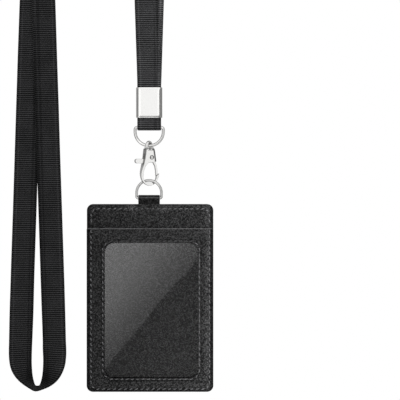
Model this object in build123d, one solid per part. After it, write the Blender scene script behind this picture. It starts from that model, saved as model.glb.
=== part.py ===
from build123d import *
import math
import os

# Lanyard with a vertical badge holder, hanging upright.
# Units are millimetres. X runs to the right, Y runs from front to back, Z is up.
# The origin is the centre of the semicircle that the doubled strap makes where it is hung up.

os.makedirs("parts", exist_ok=True)

# ---------------------------------------------------------------- driving dimensions
STRAP_W, STRAP_T = 14.4, 0.9    # webbing width and thickness
HANG_R = 33.9                   # mean radius of the doubled strap over its hanging point
PLY_GAP = 1.0                   # centre to centre of two plies lying on each other
TWIST_Z = -44.85                # height at which the strap has turned face to front

CRIMP_X = HANG_R                # centre of the crimp, strap loop and upper D-ring
CRIMP_TOP, CRIMP_BOTTOM = -97.94, -116.24
CRIMP_W, CRIMP_WALL = 15.9, 0.6     # outer width, sheet thickness
CRIMP_DEPTH = 3.0                   # inner depth
CRIMP_PITCH = 0.95                  # pitch of the three plies in the crimp

UPPER_BAR_Z = -122.1            # straight bar of the upper D-ring
LOOP_R = 1.0                    # inner radius of the webbing round that bar
LOWER_BAR_Z = -164.9            # straight bar of the lower D-ring

CLASP_X = 33.8                  # centre line of eye, clasp, lower D-ring and tab
EYE_TILT = 30.0                 # plane of the eye turned from the Y axis, degrees
EYE_R, EYE_WIRE_R, EYE_TOP = 2.4, 1.05, -131.05
FOOT_R, FOOT_T, FOOT_TOP = 3.1, 0.7, -134.17    # round foot of the eye

CLASP_TURN = 30.0               # clasp plane turned from the lower D-ring's plane, degrees
CLASP_TOP = -134.95
COLLAR_T = 1.0
PIVOT_U, PIVOT_Z = 0.85, -140.24    # rivet axis; u is the clasp's own X
GATE_T, SLOT_W = 1.3, 1.5
SLOT_TOP, SLOT_BOTTOM = -138.2, -144.3
RIVET_R, RIVET_HEAD_R, RIVET_HEAD_T = 0.9, 1.4, 0.3
CHEEK_Y = 2.13                  # distance of the clasp's cheeks from its mid plane

TAB_W, TAB_T, TAB_R = 13.0, 0.7, 0.88   # TAB_R is the inner radius round the bar
TAB_BOTTOM = -180.5

HOLDER_X, HOLDER_W, HOLDER_TOP, HOLDER_BOTTOM, HOLDER_CORNER = 34.47, 76.5, -168.5, -282.3, 3.8
WINDOW_X, WINDOW_W, WINDOW_TOP, WINDOW_BOTTOM, WINDOW_CORNER = 35.36, 56.5, -192.06, -273.5, 5.8
POCKET_Z = -183.3               # top edge of the front window panel
REAR_SLOT_Z = HOLDER_TOP - 33.0     # top edge of the rear slot panel
THUMB_R = 9.0                   # thumb cut-out in that edge
RIM = 4.0                       # width of the window panel's rim
LEATHER_T = 0.8
BOARD_INSET = 3.5               # board edge inside the panel edge
BOARD_CORNER = 2.0

STITCH_PITCH, STITCH_L, STITCH_R = 3.3, 2.35, 0.3
INSIDE_STITCH_R = 0.12
STITCH_SLANT = 10.0             # degrees
STITCH_LIFT = STITCH_R + 0.01   # thread axis above the leather
EDGE_IN, TOP_EDGE_IN = 2.3, 2.9     # edge stitching inside the sides and bottom, and the top
PANEL_END_GAP = 1.6             # edge stitching stays this far from a panel's top edge
WINDOW_OUT = 1.1                # window stitching outside the window


# ---------------------------------------------------------------- shared helpers
def smooth(t):
    t = min(1.0, max(0.0, t))
    return t * t * (3 - 2 * t)


def read_table(rows, z):
    """Straight-line reading of a (height, value) table ordered from top to bottom."""
    if z >= rows[0][0]:
        return rows[0][1]
    for (z0, v0), (z1, v1) in zip(rows, rows[1:]):
        if z >= z1:
            return v0 + (v1 - v0) * (z - z0) / (z1 - z0)
    return rows[-1][1]


def polygon(points):
    return Wire.make_polygon([Vector(*point) for point in points], close=True)


def yz_face(points):
    return Face(polygon([(0, y, z) for y, z in points]))


def y_cylinder(radius, length):
    return Cylinder(radius, length, rotation=(90, 0, 0))


# ---------------------------------------------------------------- strap
# A section is (centre, across, normal): across runs along the ribbon's width,
# normal through its thickness. A station is a section without its normal.
# Side +1 is the outer ply, which lies behind lower down; -1 is the inner ply, in front.

# sideways shift of each ply: (z, shift)
RIGHT_SHIFT = {
    1: [(0, 0.0), (TWIST_Z, 1.74), (-93.3, 0.2), (-97.9, 0.0)],
    -1: [(0, 0.0), (TWIST_Z, -1.72), (-93.3, -0.08), (-97.9, 0.0)],
}
LEFT_SHIFT = {
    1: [(0, 0.0), (TWIST_Z, -3.35), (-75.2, -4.5), (-111.5, -5.7), (-172, -7.55),
        (-208.5, -8.8), (-244.9, -9.95), (-257, -10.55)],
    -1: [(0, 0.0), (TWIST_Z, 3.2), (-136, 5.95), (-172, 7.15),
         (-208.5, 8.35), (-244.9, 9.55), (-257, 10.25)],
}

# section heights
TWIST_STEPS = [TWIST_Z * k / 15 for k in range(16)]
RIGHT_Z = TWIST_STEPS + [-60, -76, -86, -89, -92, -95, -97.9]
LEFT_Z = TWIST_STEPS + [-75.2, -111.5, -136, -165, -180, -195, -208.5, -215,
                        -222, -229, -236, -244.9, -251, -257]
OUTER_END_Z = -115.9            # end of the outer ply in the crimp
FOLD_TURN = math.radians(14.5)  # turn of the left strands where the fold begins

# neck fold, left half down to its middle: (x, z) of the outer edge, (x, z) of the inner edge
FOLD = [
    ((-51.55, -261.8), (-37.76, -263.0)),
    ((-50.12, -266.97), (-37.70, -268.48)),
    ((-47.70, -271.82), (-37.39, -273.03)),
    ((-44.12, -276.06), (-36.67, -275.64)),
    ((-40.30, -278.97), (-35.82, -277.33)),
    ((-37.15, -280.85), (-34.97, -278.36)),
    ((-34.06, -281.70), (-34.06, -278.79)),
]
FOLD_MID_X = FOLD[-1][0][0]


def heading(angle):
    return Vector(math.cos(angle), math.sin(angle), 0)


def twist_angle(z):
    """Quarter turn at the hanging arc, none from TWIST_Z down."""
    return math.pi / 2 * smooth((z - TWIST_Z) / -TWIST_Z)


def right_section(z, side):
    angle = twist_angle(z)
    across, normal = heading(-angle), heading(math.pi / 2 - angle)
    offset = PLY_GAP / 2 + (CRIMP_PITCH - PLY_GAP / 2) * smooth((-86 - z) / 11.0)
    shift = read_table(RIGHT_SHIFT[side], z)
    return Vector(HANG_R, 0, z) + normal * (side * offset) + across * shift, across, normal


def left_section(z, side):
    angle = twist_angle(z)
    offset = PLY_GAP / 2 * (1 - smooth((-165 - z) / 80.0))
    shift = read_table(LEFT_SHIFT[side], z)
    centre = (Vector(-HANG_R, 0, z) + heading(angle + math.pi / 2) * (side * offset)
              + heading(angle) * shift)
    # low down the strands begin to turn towards the fold
    angle += side * FOLD_TURN * smooth((-215 - z) / 42.0)
    return centre, heading(angle), heading(angle - math.pi / 2)


def fold_stations():
    """The strap keeps its full width in the fold, so its edges part in Y."""
    half = []
    for (outer_x, outer_z), (inner_x, inner_z) in FOLD:
        flat = math.hypot(outer_x - inner_x, outer_z - inner_z)
        depth = math.sqrt(max(0.0, STRAP_W ** 2 - flat ** 2))
        half.append((Vector(outer_x, -depth / 2, outer_z), Vector(inner_x, depth / 2, inner_z)))
    mirrored = [[Vector(2 * FOLD_MID_X - edge.X, edge.Y, edge.Z) for edge in pair]
                for pair in reversed(half[:-1])]
    return [((outer + inner) * 0.5, (inner - outer).normalized())
            for outer, inner in half + mirrored]


def add_normals(stations):
    """Sections whose normals are square to the path and to the width."""
    sections = []
    for k, (centre, across) in enumerate(stations):
        before = stations[max(0, k - 1)][0]
        after = stations[min(len(stations) - 1, k + 1)][0]
        sections.append((centre, across, (after - before).cross(across).normalized()))
    return sections


def align_normals(sections):
    """Flip normals where needed so that they stay on one side of the ribbon."""
    aligned = [sections[0]]
    for centre, across, normal in sections[1:]:
        if aligned[-1][2].dot(normal) < 0:
            normal = -normal
        aligned.append((centre, across, normal))
    return aligned


def ribbon(sections):
    wires = []
    for centre, across, normal in sections:
        a, b = across * (STRAP_W / 2), normal * (STRAP_T / 2)
        corners = [centre + a + b, centre - a + b, centre - a - b, centre + a - b]
        wires.append(Wire.make_polygon(corners, close=True))
    return Solid.make_loft(wires, ruled=True)


def outer_right_sections():
    """From the end in the crimp up to the hanging arc."""
    sections = [right_section(z, 1) for z in RIGHT_Z]
    centre, across, normal = sections[-1]
    sections.append((Vector(centre.X, centre.Y, OUTER_END_Z), across, normal))
    return sections[::-1]


def inner_right_sections():
    """Down through the crimp, round the D-ring bar and back up into the crimp."""
    sections = [right_section(z, -1) for z in RIGHT_Z]
    radius = LOOP_R + STRAP_T / 2
    # (y, z) of the ribbon's middle
    path = [(-CRIMP_PITCH, -104.0), (-CRIMP_PITCH, -112.0), (-CRIMP_PITCH, -116.2),
            (-CRIMP_PITCH - 0.1, -117.3), (-radius + 0.08, -120.4), (-radius, -121.5)]
    for k in range(13):
        angle = math.radians(180 + 15 * k)
        path.append((radius * math.cos(angle), UPPER_BAR_Z + radius * math.sin(angle)))
    path += [(radius, -121.5), (radius - 0.12, -120.4), (0.25, -117.3),
             (0.0, -116.2), (0.0, -112.0), (0.0, -99.2)]
    loop = [(Vector(CRIMP_X, y, z), Vector(1, 0, 0)) for y, z in path]
    return align_normals(sections + add_normals([sections[-1][:2]] + loop)[1:])


def left_sections():
    """Outer ply down, neck fold, inner ply up."""
    down = [left_section(z, 1) for z in LEFT_Z]
    # on the way up the width is read from the other edge, so its direction is turned round
    up = [(centre, -across, normal)
          for centre, across, normal in (left_section(z, -1) for z in reversed(LEFT_Z))]
    fold = add_normals([down[-1][:2]] + fold_stations() + [up[0][:2]])[1:-1]
    return align_normals(down + fold + up)


def hanging_arc(radius):
    """Half ring of the webbing over the hanging point, width along Y."""
    ring = (y_cylinder(radius + STRAP_T / 2, STRAP_W)
            - y_cylinder(radius - STRAP_T / 2, STRAP_W + 2))
    return ring & Pos(0, 0, 50) * Box(200, 60, 100)


def make_neck_strap():
    strap = ribbon(outer_right_sections()) + hanging_arc(HANG_R + PLY_GAP / 2)
    strap = strap + ribbon(left_sections())
    strap = strap + hanging_arc(HANG_R - PLY_GAP / 2)
    return strap + ribbon(inner_right_sections())


# ---------------------------------------------------------------- crimp
def make_strap_crimp():
    height = CRIMP_TOP - CRIMP_BOTTOM
    crimp = Box(CRIMP_W, CRIMP_DEPTH + 2 * CRIMP_WALL, height)
    crimp = fillet(crimp.edges().filter_by(Axis.Z), 0.9)
    crimp = chamfer(crimp.faces().sort_by(Axis.Y)[0].edges(), 0.35)
    crimp = crimp - Box(CRIMP_W - 2 * CRIMP_WALL, CRIMP_DEPTH, height + 2)
    # seam at the back
    seam = Box(0.4, CRIMP_WALL * 2, height + 2)
    crimp = crimp - Pos(0, CRIMP_DEPTH / 2 + CRIMP_WALL / 2, 0) * seam
    return Pos(CRIMP_X, 0, (CRIMP_TOP + CRIMP_BOTTOM) / 2) * crimp


# ---------------------------------------------------------------- D-rings
def d_ring(x, bar_z, arc_z, radius, wire_r, corner, bar_on_top):
    """Closed D of round wire in the plane Y = 0; arc_z is the height of the arc's centre."""
    up = 1 if bar_on_top else -1
    inset = corner * (1 - math.sqrt(0.5))   # from the square corner to the middle of its arc

    def at(dx, z):
        return Vector(x + dx, 0, z)

    bar_left, bar_right = at(corner - radius, bar_z), at(radius - corner, bar_z)
    side_left, side_right = at(-radius, bar_z - up * corner), at(radius, bar_z - up * corner)
    arc_left, arc_right = at(-radius, arc_z), at(radius, arc_z)
    path = Wire([
        Edge.make_line(bar_left, bar_right),
        Edge.make_three_point_arc(bar_right, at(radius - inset, bar_z - up * inset), side_right),
        Edge.make_line(side_right, arc_right),
        Edge.make_three_point_arc(arc_right, at(0, arc_z - up * radius), arc_left),
        Edge.make_line(arc_left, side_left),
        Edge.make_three_point_arc(side_left, at(inset - radius, bar_z - up * inset), bar_left),
    ])
    start = Plane(origin=bar_left, x_dir=(0, 1, 0), z_dir=(1, 0, 0))
    return sweep(start * Circle(wire_r), path=path, transition=Transition.RIGHT)


def make_lanyard_d_ring():
    return d_ring(CRIMP_X, UPPER_BAR_Z, arc_z=-124.6, radius=8.55, wire_r=0.9,
                  corner=1.3, bar_on_top=True)


def make_holder_d_ring():
    return d_ring(CLASP_X, LOWER_BAR_Z, arc_z=-161.7, radius=7.52, wire_r=0.78,
                  corner=0.95, bar_on_top=False)


# ---------------------------------------------------------------- swivel eye
def make_swivel_eye():
    """An arch over the ring wire, a round foot and a post with a peened head."""
    tilt = math.radians(EYE_TILT)
    reach = Vector(math.sin(tilt), math.cos(tilt), 0) * EYE_R
    foot_end = Vector(CLASP_X, 0, FOOT_TOP - 0.3)       # the arch ends inside the foot
    spring_line = Vector(CLASP_X, 0, EYE_TOP - EYE_R)
    path = Wire([
        Edge.make_line(foot_end + reach, spring_line + reach),
        Edge.make_three_point_arc(spring_line + reach, Vector(CLASP_X, 0, EYE_TOP),
                                  spring_line - reach),
        Edge.make_line(spring_line - reach, foot_end - reach),
    ])
    start = Plane(origin=foot_end + reach, z_dir=(0, 0, 1))
    arch = sweep(start * Circle(EYE_WIRE_R), path=path)
    foot = Pos(CLASP_X, 0, FOOT_TOP - FOOT_T / 2) * Cylinder(FOOT_R, FOOT_T)
    foot = chamfer(foot.edges().group_by(Axis.Z)[-1], 0.3)
    post = Pos(CLASP_X, 0, -135.6) * Cylinder(radius=0.95, height=2.2)
    post_head = Pos(CLASP_X, 0, -137.0) * Cylinder(radius=1.4, height=0.7)
    return arch + foot + post + post_head


# ---------------------------------------------------------------- clasp
# Built with u along X and thickness along Y, then turned into place.
CLASP_PLACE = Pos(CLASP_X, 0, 0) * Rot(0, 0, CLASP_TURN)

# (u, z) down the left side, round the bottom and up to the hook's tip
CLASP_OUTER = [
    (-2.75, CLASP_TOP), (-3.2, -138.2), (-3.7, -141.5), (-4.55, -144.9), (-5.7, -149.0),
    (-5.75, -152.0), (-4.5, -154.9), (-2.0, -156.9), (0.1, -157.4), (2.2, -157.0),
    (4.0, -155.7), (5.6, -153.6), (6.35, -151.3), (6.35, -149.9),
]
# (u, z) from the tip back round the inside of the hook
CLASP_INNER = [
    (4.75, -151.5), (4.55, -152.8), (3.85, -154.3), (2.75, -155.25), (0.0, -155.5),
    (-2.75, -155.25), (-3.75, -154.0), (-4.2, -152.0), (-4.05, -149.0), (-3.2, -146.0),
    (-1.6, -143.9), (0.2, -143.35),
]
# (u, z) of the straight edges from there up the right side
CLASP_RIGHT = [(0.2, -143.35), (2.6, -143.3), (4.0, -142.6), (2.75, CLASP_TOP)]
# (half thickness, z): seen from the side it narrows from the body to the hook
CLASP_SIDE = [(2.15, -134.0), (2.15, -139.0), (1.95, -143.5), (1.35, -148.0),
              (0.7, -152.6), (0.7, -158.0)]
# (u, z) of the thumb lever and gate, clockwise from the lever's end
GATE_OUTLINE = [
    # top of the lever; the short flat seats the spring
    (-8.3, -141.2), (-4.6, -141.2), (-2.9, -140.85), (-1.2, -140.85), (-0.75, -140.2),
    # over the rivet
    (0.0, -139.0), (1.5, -139.0), (2.55, -140.2),
    # outer side of the gate arm
    (2.55, -141.6), (4.15, -143.2), (5.0, -145.6), (5.45, -148.1), (5.6, -150.35),
    # inner side of the gate arm
    (4.55, -151.4), (4.5, -150.9), (4.3, -148.2), (3.8, -145.6), (2.6, -143.4),
    # underside of the lever
    (0.8, -142.4), (-1.4, -142.5), (-3.2, -143.3), (-4.6, -143.95), (-8.3, -143.95),
]


def make_clasp_body():
    outer, inner, right = ([Vector(u, 0, z) for u, z in points]
                           for points in (CLASP_OUTER, CLASP_INNER, CLASP_RIGHT))
    outline = Wire([
        Edge.make_line(right[-1], outer[0]),
        Edge.make_spline(outer),
        Edge.make_line(outer[-1], inner[0]),
        Edge.make_spline(inner),
        *[Edge.make_line(start, end) for start, end in zip(right, right[1:])],
    ])
    plate = extrude(Face(outline), amount=3.0, dir=(0, 1, 0), both=True)
    side_face = yz_face(CLASP_SIDE + [(-y, z) for y, z in reversed(CLASP_SIDE)])
    plate = plate & extrude(side_face, amount=20, dir=(1, 0, 0), both=True)
    collar = Pos(0, 0, CLASP_TOP - COLLAR_T / 2) * Cylinder(FOOT_R, COLLAR_T)
    collar = fillet(collar.edges().group_by(Axis.Z)[0], 0.3)
    clasp = plate + collar
    # post hole
    clasp = clasp - Pos(0, 0, -135.5) * Cylinder(radius=1.05, height=3.0)
    # room for the post head
    clasp = clasp - Pos(0, 0, -137.15) * Cylinder(radius=1.55, height=1.3)
    # gate slot
    slot = Box(24, SLOT_W, SLOT_TOP - SLOT_BOTTOM)
    clasp = clasp - Pos(0, 0, (SLOT_TOP + SLOT_BOTTOM) / 2) * slot
    # opens the head room into the slot
    clasp = clasp - Pos(0, 0, -138.0) * Cylinder(radius=0.75, height=1.0)
    # rivet hole
    clasp = clasp - Pos(PIVOT_U, 0, PIVOT_Z) * y_cylinder(RIVET_R + 0.02, 20)
    return CLASP_PLACE * clasp


def make_clasp_gate():
    """Thumb lever and gate in one piece, turning on the rivet."""
    face = Face(polygon([(u, 0, z) for u, z in GATE_OUTLINE]))
    gate = extrude(face, amount=GATE_T / 2, dir=(0, 1, 0), both=True)
    # round end of the lever
    (end_u, top), (_, bottom) = GATE_OUTLINE[0], GATE_OUTLINE[-1]
    gate = gate + Pos(end_u, 0, (top + bottom) / 2) * y_cylinder((top - bottom) / 2, GATE_T)
    gate = gate - Pos(PIVOT_U, 0, PIVOT_Z) * y_cylinder(RIVET_R + 0.06, 20)
    return CLASP_PLACE * gate


def make_gate_pivot_rivet():
    """Pin with a low round head on each cheek."""
    rivet = y_cylinder(RIVET_R, 2 * CHEEK_Y + 0.2)
    for side in (-1, 1):
        head = Pos(0, side * (CHEEK_Y + 0.22), 0) * y_cylinder(RIVET_HEAD_R, RIVET_HEAD_T)
        rivet = rivet + head
    return CLASP_PLACE * Pos(PIVOT_U, 0, PIVOT_Z) * rivet


def make_gate_spring():
    """Compression spring between the slot's roof and the lever."""
    helix = Edge.make_helix(pitch=0.62, height=2.2, radius=0.42)
    start = Plane(origin=helix @ 0, z_dir=helix % 0)
    spring = sweep(start * Circle(0.14), path=Wire([helix]), is_frenet=True)
    return CLASP_PLACE * Pos(-1.95, 0, -140.68) * spring


# ---------------------------------------------------------------- hanger tab
def path_band(points, half):
    """Closed outline at a constant distance on both sides of an open (y, z) path."""
    one_side, other_side = [], []
    for k, (y, z) in enumerate(points):
        before, after = points[max(0, k - 1)], points[min(len(points) - 1, k + 1)]
        dy, dz = after[0] - before[0], after[1] - before[1]
        length = math.hypot(dy, dz)
        one_side.append((y - dz / length * half, z + dy / length * half))
        other_side.append((y + dz / length * half, z - dy / length * half))
    return one_side + other_side[::-1]


def make_hanger_tab():
    """Strip folded over the lower D-ring's bar, its legs going down between the panels."""
    leg_y = TAB_T / 2 + 0.03
    radius = TAB_R + TAB_T / 2
    front = [(-leg_y, TAB_BOTTOM), (-leg_y, HOLDER_TOP), (-leg_y - 0.05, -168.1),
             (-radius + 0.06, -166.1), (-radius, -165.4)]
    over = []
    for k in range(13):
        angle = math.radians(180 - 15 * k)
        over.append((radius * math.cos(angle), LOWER_BAR_Z + radius * math.sin(angle)))
    path = front + over + [(-y, z) for y, z in reversed(front)]
    tab = extrude(yz_face(path_band(path, TAB_T / 2)), amount=TAB_W / 2, dir=(1, 0, 0), both=True)
    return Pos(CLASP_X, 0, 0) * tab


# ---------------------------------------------------------------- holder layers
# Y of the faces, worked out from the room for the folded tab in the middle
CORE_T = 2 * TAB_T + 0.12
INNER_BACK = -CORE_T / 2                # inner front panel
INNER_FRONT = INNER_BACK - LEATHER_T
PANEL_BACK = INNER_FRONT - 1.3          # window panel: film and a card go between
PANEL_FRONT = PANEL_BACK - LEATHER_T
BACK_FRONT = CORE_T / 2                 # back panel
BACK_BACK = BACK_FRONT + LEATHER_T
REAR_FRONT = BACK_BACK + 0.04           # rear slot panel
REAR_BACK = REAR_FRONT + LEATHER_T
FILM_BACK = PANEL_BACK + 0.27


def plate_xz(x, width, top, bottom, top_corner, bottom_corner, y_front, y_back):
    """Flat plate standing in the XZ plane; a corner radius of 0 leaves square corners."""
    body = Pos(x, (y_front + y_back) / 2, (top + bottom) / 2) * Box(
        width, y_back - y_front, top - bottom)
    if bottom_corner:
        body = fillet(body.edges().filter_by(Axis.Y).group_by(Axis.Z)[0], bottom_corner)
    if top_corner:
        body = fillet(body.edges().filter_by(Axis.Y).group_by(Axis.Z)[-1], top_corner)
    return body


def holder_panel(y_front, y_back, top=HOLDER_TOP, top_corner=HOLDER_CORNER):
    return plate_xz(HOLDER_X, HOLDER_W, top, HOLDER_BOTTOM, top_corner, HOLDER_CORNER,
                    y_front, y_back)


def make_stiffener_board():
    """Board between the panels, cut out round the tab."""
    board = plate_xz(HOLDER_X, HOLDER_W - 2 * BOARD_INSET, HOLDER_TOP - BOARD_INSET,
                     HOLDER_BOTTOM + BOARD_INSET, BOARD_CORNER, BOARD_CORNER,
                     INNER_BACK + 0.03, BACK_FRONT - 0.03)
    cutout = Box(TAB_W + 0.8, 10, HOLDER_TOP - TAB_BOTTOM + 0.8)
    return board - Pos(CLASP_X, 0, (HOLDER_TOP + TAB_BOTTOM) / 2) * cutout


def make_window_panel():
    """Front panel with a rim to the back at its sides and bottom, open at the top."""
    panel = holder_panel(PANEL_FRONT, INNER_FRONT - 0.02, top=POCKET_Z, top_corner=0)
    panel = panel - plate_xz(HOLDER_X, HOLDER_W - 2 * RIM, POCKET_Z + 10, HOLDER_BOTTOM + RIM,
                             0, 0, PANEL_BACK, INNER_FRONT)
    return panel - plate_xz(WINDOW_X, WINDOW_W, WINDOW_TOP, WINDOW_BOTTOM,
                            WINDOW_CORNER, WINDOW_CORNER, PANEL_FRONT - 1, PANEL_BACK + 1)


def make_window_film():
    return plate_xz(WINDOW_X, WINDOW_W + 9.0, WINDOW_TOP + 5.0, WINDOW_BOTTOM - 4.0,
                    1.0, 1.0, PANEL_BACK + 0.02, FILM_BACK)


def make_rear_slot_panel():
    panel = holder_panel(REAR_FRONT, REAR_BACK, top=REAR_SLOT_Z, top_corner=0)
    thumb = y_cylinder(THUMB_R, 4)
    return panel - Pos(HOLDER_X, (REAR_FRONT + REAR_BACK) / 2, REAR_SLOT_Z) * thumb


# ---------------------------------------------------------------- stitching
def cut_corner_loop(x, width, top, bottom, cut):
    """Closed (x, z) rectangle with its corners cut off at 45 degrees."""
    left, right = x - width / 2, x + width / 2
    return [(left + cut, top), (right - cut, top), (right, top - cut), (right, bottom + cut),
            (right - cut, bottom), (left + cut, bottom), (left, bottom + cut),
            (left, top - cut), (left + cut, top)]


EDGE_LOOP = cut_corner_loop(HOLDER_X, HOLDER_W - 2 * EDGE_IN, HOLDER_TOP - TOP_EDGE_IN,
                            HOLDER_BOTTOM + EDGE_IN, cut=2.4)
WINDOW_LOOP = cut_corner_loop(WINDOW_X, WINDOW_W + 2 * WINDOW_OUT, WINDOW_TOP + WINDOW_OUT,
                              WINDOW_BOTTOM - WINDOW_OUT, cut=3.4)


def stitches(points, y, z_min=-math.inf, z_max=math.inf, radius=STITCH_R):
    """Short slanting thread cylinders along an (x, z) line, kept from z_min to z_max."""
    threads = []
    for (x0, z0), (x1, z1) in zip(points, points[1:]):
        count = max(1, round(math.hypot(x1 - x0, z1 - z0) / STITCH_PITCH))
        angle = math.degrees(math.atan2(z1 - z0, x1 - x0)) + STITCH_SLANT
        for k in range(count):
            t = (k + 0.5) / count
            x, z = x0 + (x1 - x0) * t, z0 + (z1 - z0) * t
            if z_min <= z <= z_max:
                threads.append(Pos(x, y, z) * Rot(0, -angle, 0) * Rot(0, 90, 0)
                               * Cylinder(radius, STITCH_L))
    return threads


def edge_stitches(upper_y, lower_y, step_z):
    """Edge stitching on the full panel above step_z and on the shorter panel below it."""
    upper = stitches(EDGE_LOOP, upper_y, z_min=step_z + PANEL_END_GAP)
    lower = stitches(EDGE_LOOP, lower_y, z_max=step_z - PANEL_END_GAP)
    return Compound(children=upper + lower)


# ---------------------------------------------------------------- files
PIECES = {
    "neck_strap": make_neck_strap(),
    "strap_crimp": make_strap_crimp(),
    "lanyard_d_ring": make_lanyard_d_ring(),
    "swivel_eye": make_swivel_eye(),
    "clasp_body": make_clasp_body(),
    "clasp_gate": make_clasp_gate(),
    "gate_pivot_rivet": make_gate_pivot_rivet(),
    "gate_spring": make_gate_spring(),
    "holder_d_ring": make_holder_d_ring(),
    "hanger_tab": make_hanger_tab(),
    "window_panel": make_window_panel(),
    "window_film": make_window_film(),
    "inner_front_panel": holder_panel(INNER_FRONT, INNER_BACK),
    "stiffener_board": make_stiffener_board(),
    "back_panel": holder_panel(BACK_FRONT, BACK_BACK),
    "rear_slot_panel": make_rear_slot_panel(),
    "edge_stitches_front": edge_stitches(
        INNER_FRONT - STITCH_LIFT, PANEL_FRONT - STITCH_LIFT, POCKET_Z),
    "edge_stitches_back": edge_stitches(
        BACK_BACK + STITCH_LIFT, REAR_BACK + STITCH_LIFT, REAR_SLOT_Z),
    "window_stitches_front": Compound(
        children=stitches(WINDOW_LOOP, PANEL_FRONT - STITCH_LIFT)),
    "window_stitches_inside": Compound(
        children=stitches(WINDOW_LOOP, FILM_BACK + INSIDE_STITCH_R + 0.01,
                          radius=INSIDE_STITCH_R)),
}
for name, shape in PIECES.items():
    shape.label = name
    export_step(shape, "parts/" + name + ".step")
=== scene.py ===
"""A neck lanyard with a leather badge holder.

The webbing hangs in a long loop: two plies run over a round bend at the top (its centre is
x = 0, z = 0), twist a quarter turn, and go down to a fold on the left and a metal crimp on the
right. Below the crimp hang a D-ring, a swivel clasp, a second D-ring and the holder.
+X is right, the front faces -Y and +Z is up. Sizes are in mm, unless a comment says metres;
shader code works in metres.
"""
import bpy
import bmesh
import math
import numpy as np
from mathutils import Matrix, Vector


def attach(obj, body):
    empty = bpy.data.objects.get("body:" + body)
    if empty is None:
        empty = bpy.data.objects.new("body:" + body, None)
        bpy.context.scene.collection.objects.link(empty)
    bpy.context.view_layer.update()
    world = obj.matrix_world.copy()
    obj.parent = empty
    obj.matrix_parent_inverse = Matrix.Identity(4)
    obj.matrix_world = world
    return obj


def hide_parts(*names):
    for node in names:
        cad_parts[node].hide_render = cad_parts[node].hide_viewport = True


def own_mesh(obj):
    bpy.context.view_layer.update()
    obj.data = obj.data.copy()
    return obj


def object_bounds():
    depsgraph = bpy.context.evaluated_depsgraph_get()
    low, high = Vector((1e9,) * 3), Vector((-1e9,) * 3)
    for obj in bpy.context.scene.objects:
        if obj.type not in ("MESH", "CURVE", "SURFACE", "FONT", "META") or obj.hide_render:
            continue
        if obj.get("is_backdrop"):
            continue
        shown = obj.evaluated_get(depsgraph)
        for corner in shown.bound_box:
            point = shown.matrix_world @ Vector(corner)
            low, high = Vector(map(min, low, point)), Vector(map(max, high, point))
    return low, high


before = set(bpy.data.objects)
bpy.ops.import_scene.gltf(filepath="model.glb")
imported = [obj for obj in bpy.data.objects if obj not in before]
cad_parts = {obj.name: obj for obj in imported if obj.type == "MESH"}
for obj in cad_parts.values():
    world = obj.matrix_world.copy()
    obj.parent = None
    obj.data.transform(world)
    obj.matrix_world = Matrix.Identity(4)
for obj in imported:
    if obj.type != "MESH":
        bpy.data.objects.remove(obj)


def plain_box(box):
    return [[float(v) for v in corner] for corner in (box[0], box[1])]


BOX_CAD = plain_box(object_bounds())
MM = 0.001
RNG = np.random.default_rng(7)

# ------------------------------------------------------------------ driving dimensions
STRAP_W, STRAP_T = 14.4, 0.9
HANG_R = 33.9               # top bend, and so the distance of each strand from x = 0
PLY_GAP = 1.0               # between the middles of the two plies
TWIST_Z = -44.85            # the quarter turn ends here
RIB = 1.27                  # pitch of the webbing's cross ribs

CRIMP_X, CRIMP_TOP, CRIMP_BOT = HANG_R, -97.94, -116.24
CRIMP_PITCH = 0.95          # between neighbouring plies inside the crimp
UPPER_BAR_Z, LOWER_BAR_Z = -122.1, -164.9
LOOP_R = 1.0                # inside radius of the webbing round the upper bar

CLASP_X = 33.8              # the clasp, the lower ring and the tab hang on this line
CLASP_TURN = math.radians(30.0)
CLASP_COS, CLASP_SIN = math.cos(CLASP_TURN), math.sin(CLASP_TURN)
PIVOT_U, PIVOT_Z = 0.85, -140.24

TAB_W, TAB_T, TAB_R, TAB_BOTTOM = 13.0, 0.7, 0.88, -180.5

HOLD_X, HOLD_W, HOLD_TOP, HOLD_BOT, HOLD_CR = 34.47, 76.5, -168.5, -281.9, 3.8
WIN_X, WIN_W, WIN_TOP, WIN_BOT, WIN_CR = 35.36, 56.5, -191.98, -273.1, 5.8
WIN_MID_Z, WIN_HALF_H = (WIN_TOP + WIN_BOT) / 2, (WIN_TOP - WIN_BOT) / 2
POCKET_Z = -183.3           # top edge of the window panel
SLOT_TOP = HOLD_TOP - 33.0  # top edge of the rear slot panel
NOTCH_R = 9.0               # thumb notch in that edge

# Y of the leather layers: *_B is the back of a front layer or the outside of a rear one
LEATHER_T = 0.8
Y_MID_B, Y_WIN_B = -0.76, -2.86
Y_MID_F, Y_WIN_F = Y_MID_B - LEATHER_T, Y_WIN_B - LEATHER_T
Y_BACK_F, Y_SLOT_F = 0.76, 1.60
Y_BACK_B, Y_SLOT_B = Y_BACK_F + LEATHER_T, Y_SLOT_F + LEATHER_T

# line of the edge stitching
SEAM_L, SEAM_R = HOLD_X - HOLD_W / 2 + 2.7, HOLD_X + HOLD_W / 2 - 2.3
SEAM_B, SEAM_T = HOLD_BOT + 1.7, HOLD_TOP - 2.9

CAMERA = (64.67, -808.0, -166.06)


# ------------------------------------------------------------------ mesh helpers
def smooth(t):
    """Smoothstep, held at 0 and 1 outside the range."""
    t = np.clip(t, 0.0, 1.0)
    return t * t * (3 - 2 * t)


def unit_rows(vectors):
    return vectors / np.linalg.norm(vectors, axis=1)[:, None]


def link_object(name, data):
    ob = bpy.data.objects.new(name, data)
    bpy.context.scene.collection.objects.link(ob)
    return ob


def settle(ob, body, node):
    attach(ob, body)
    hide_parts(node)


def smooth_shade(mesh):
    mesh.polygons.foreach_set("use_smooth", np.ones(len(mesh.polygons), dtype=bool))


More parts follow.
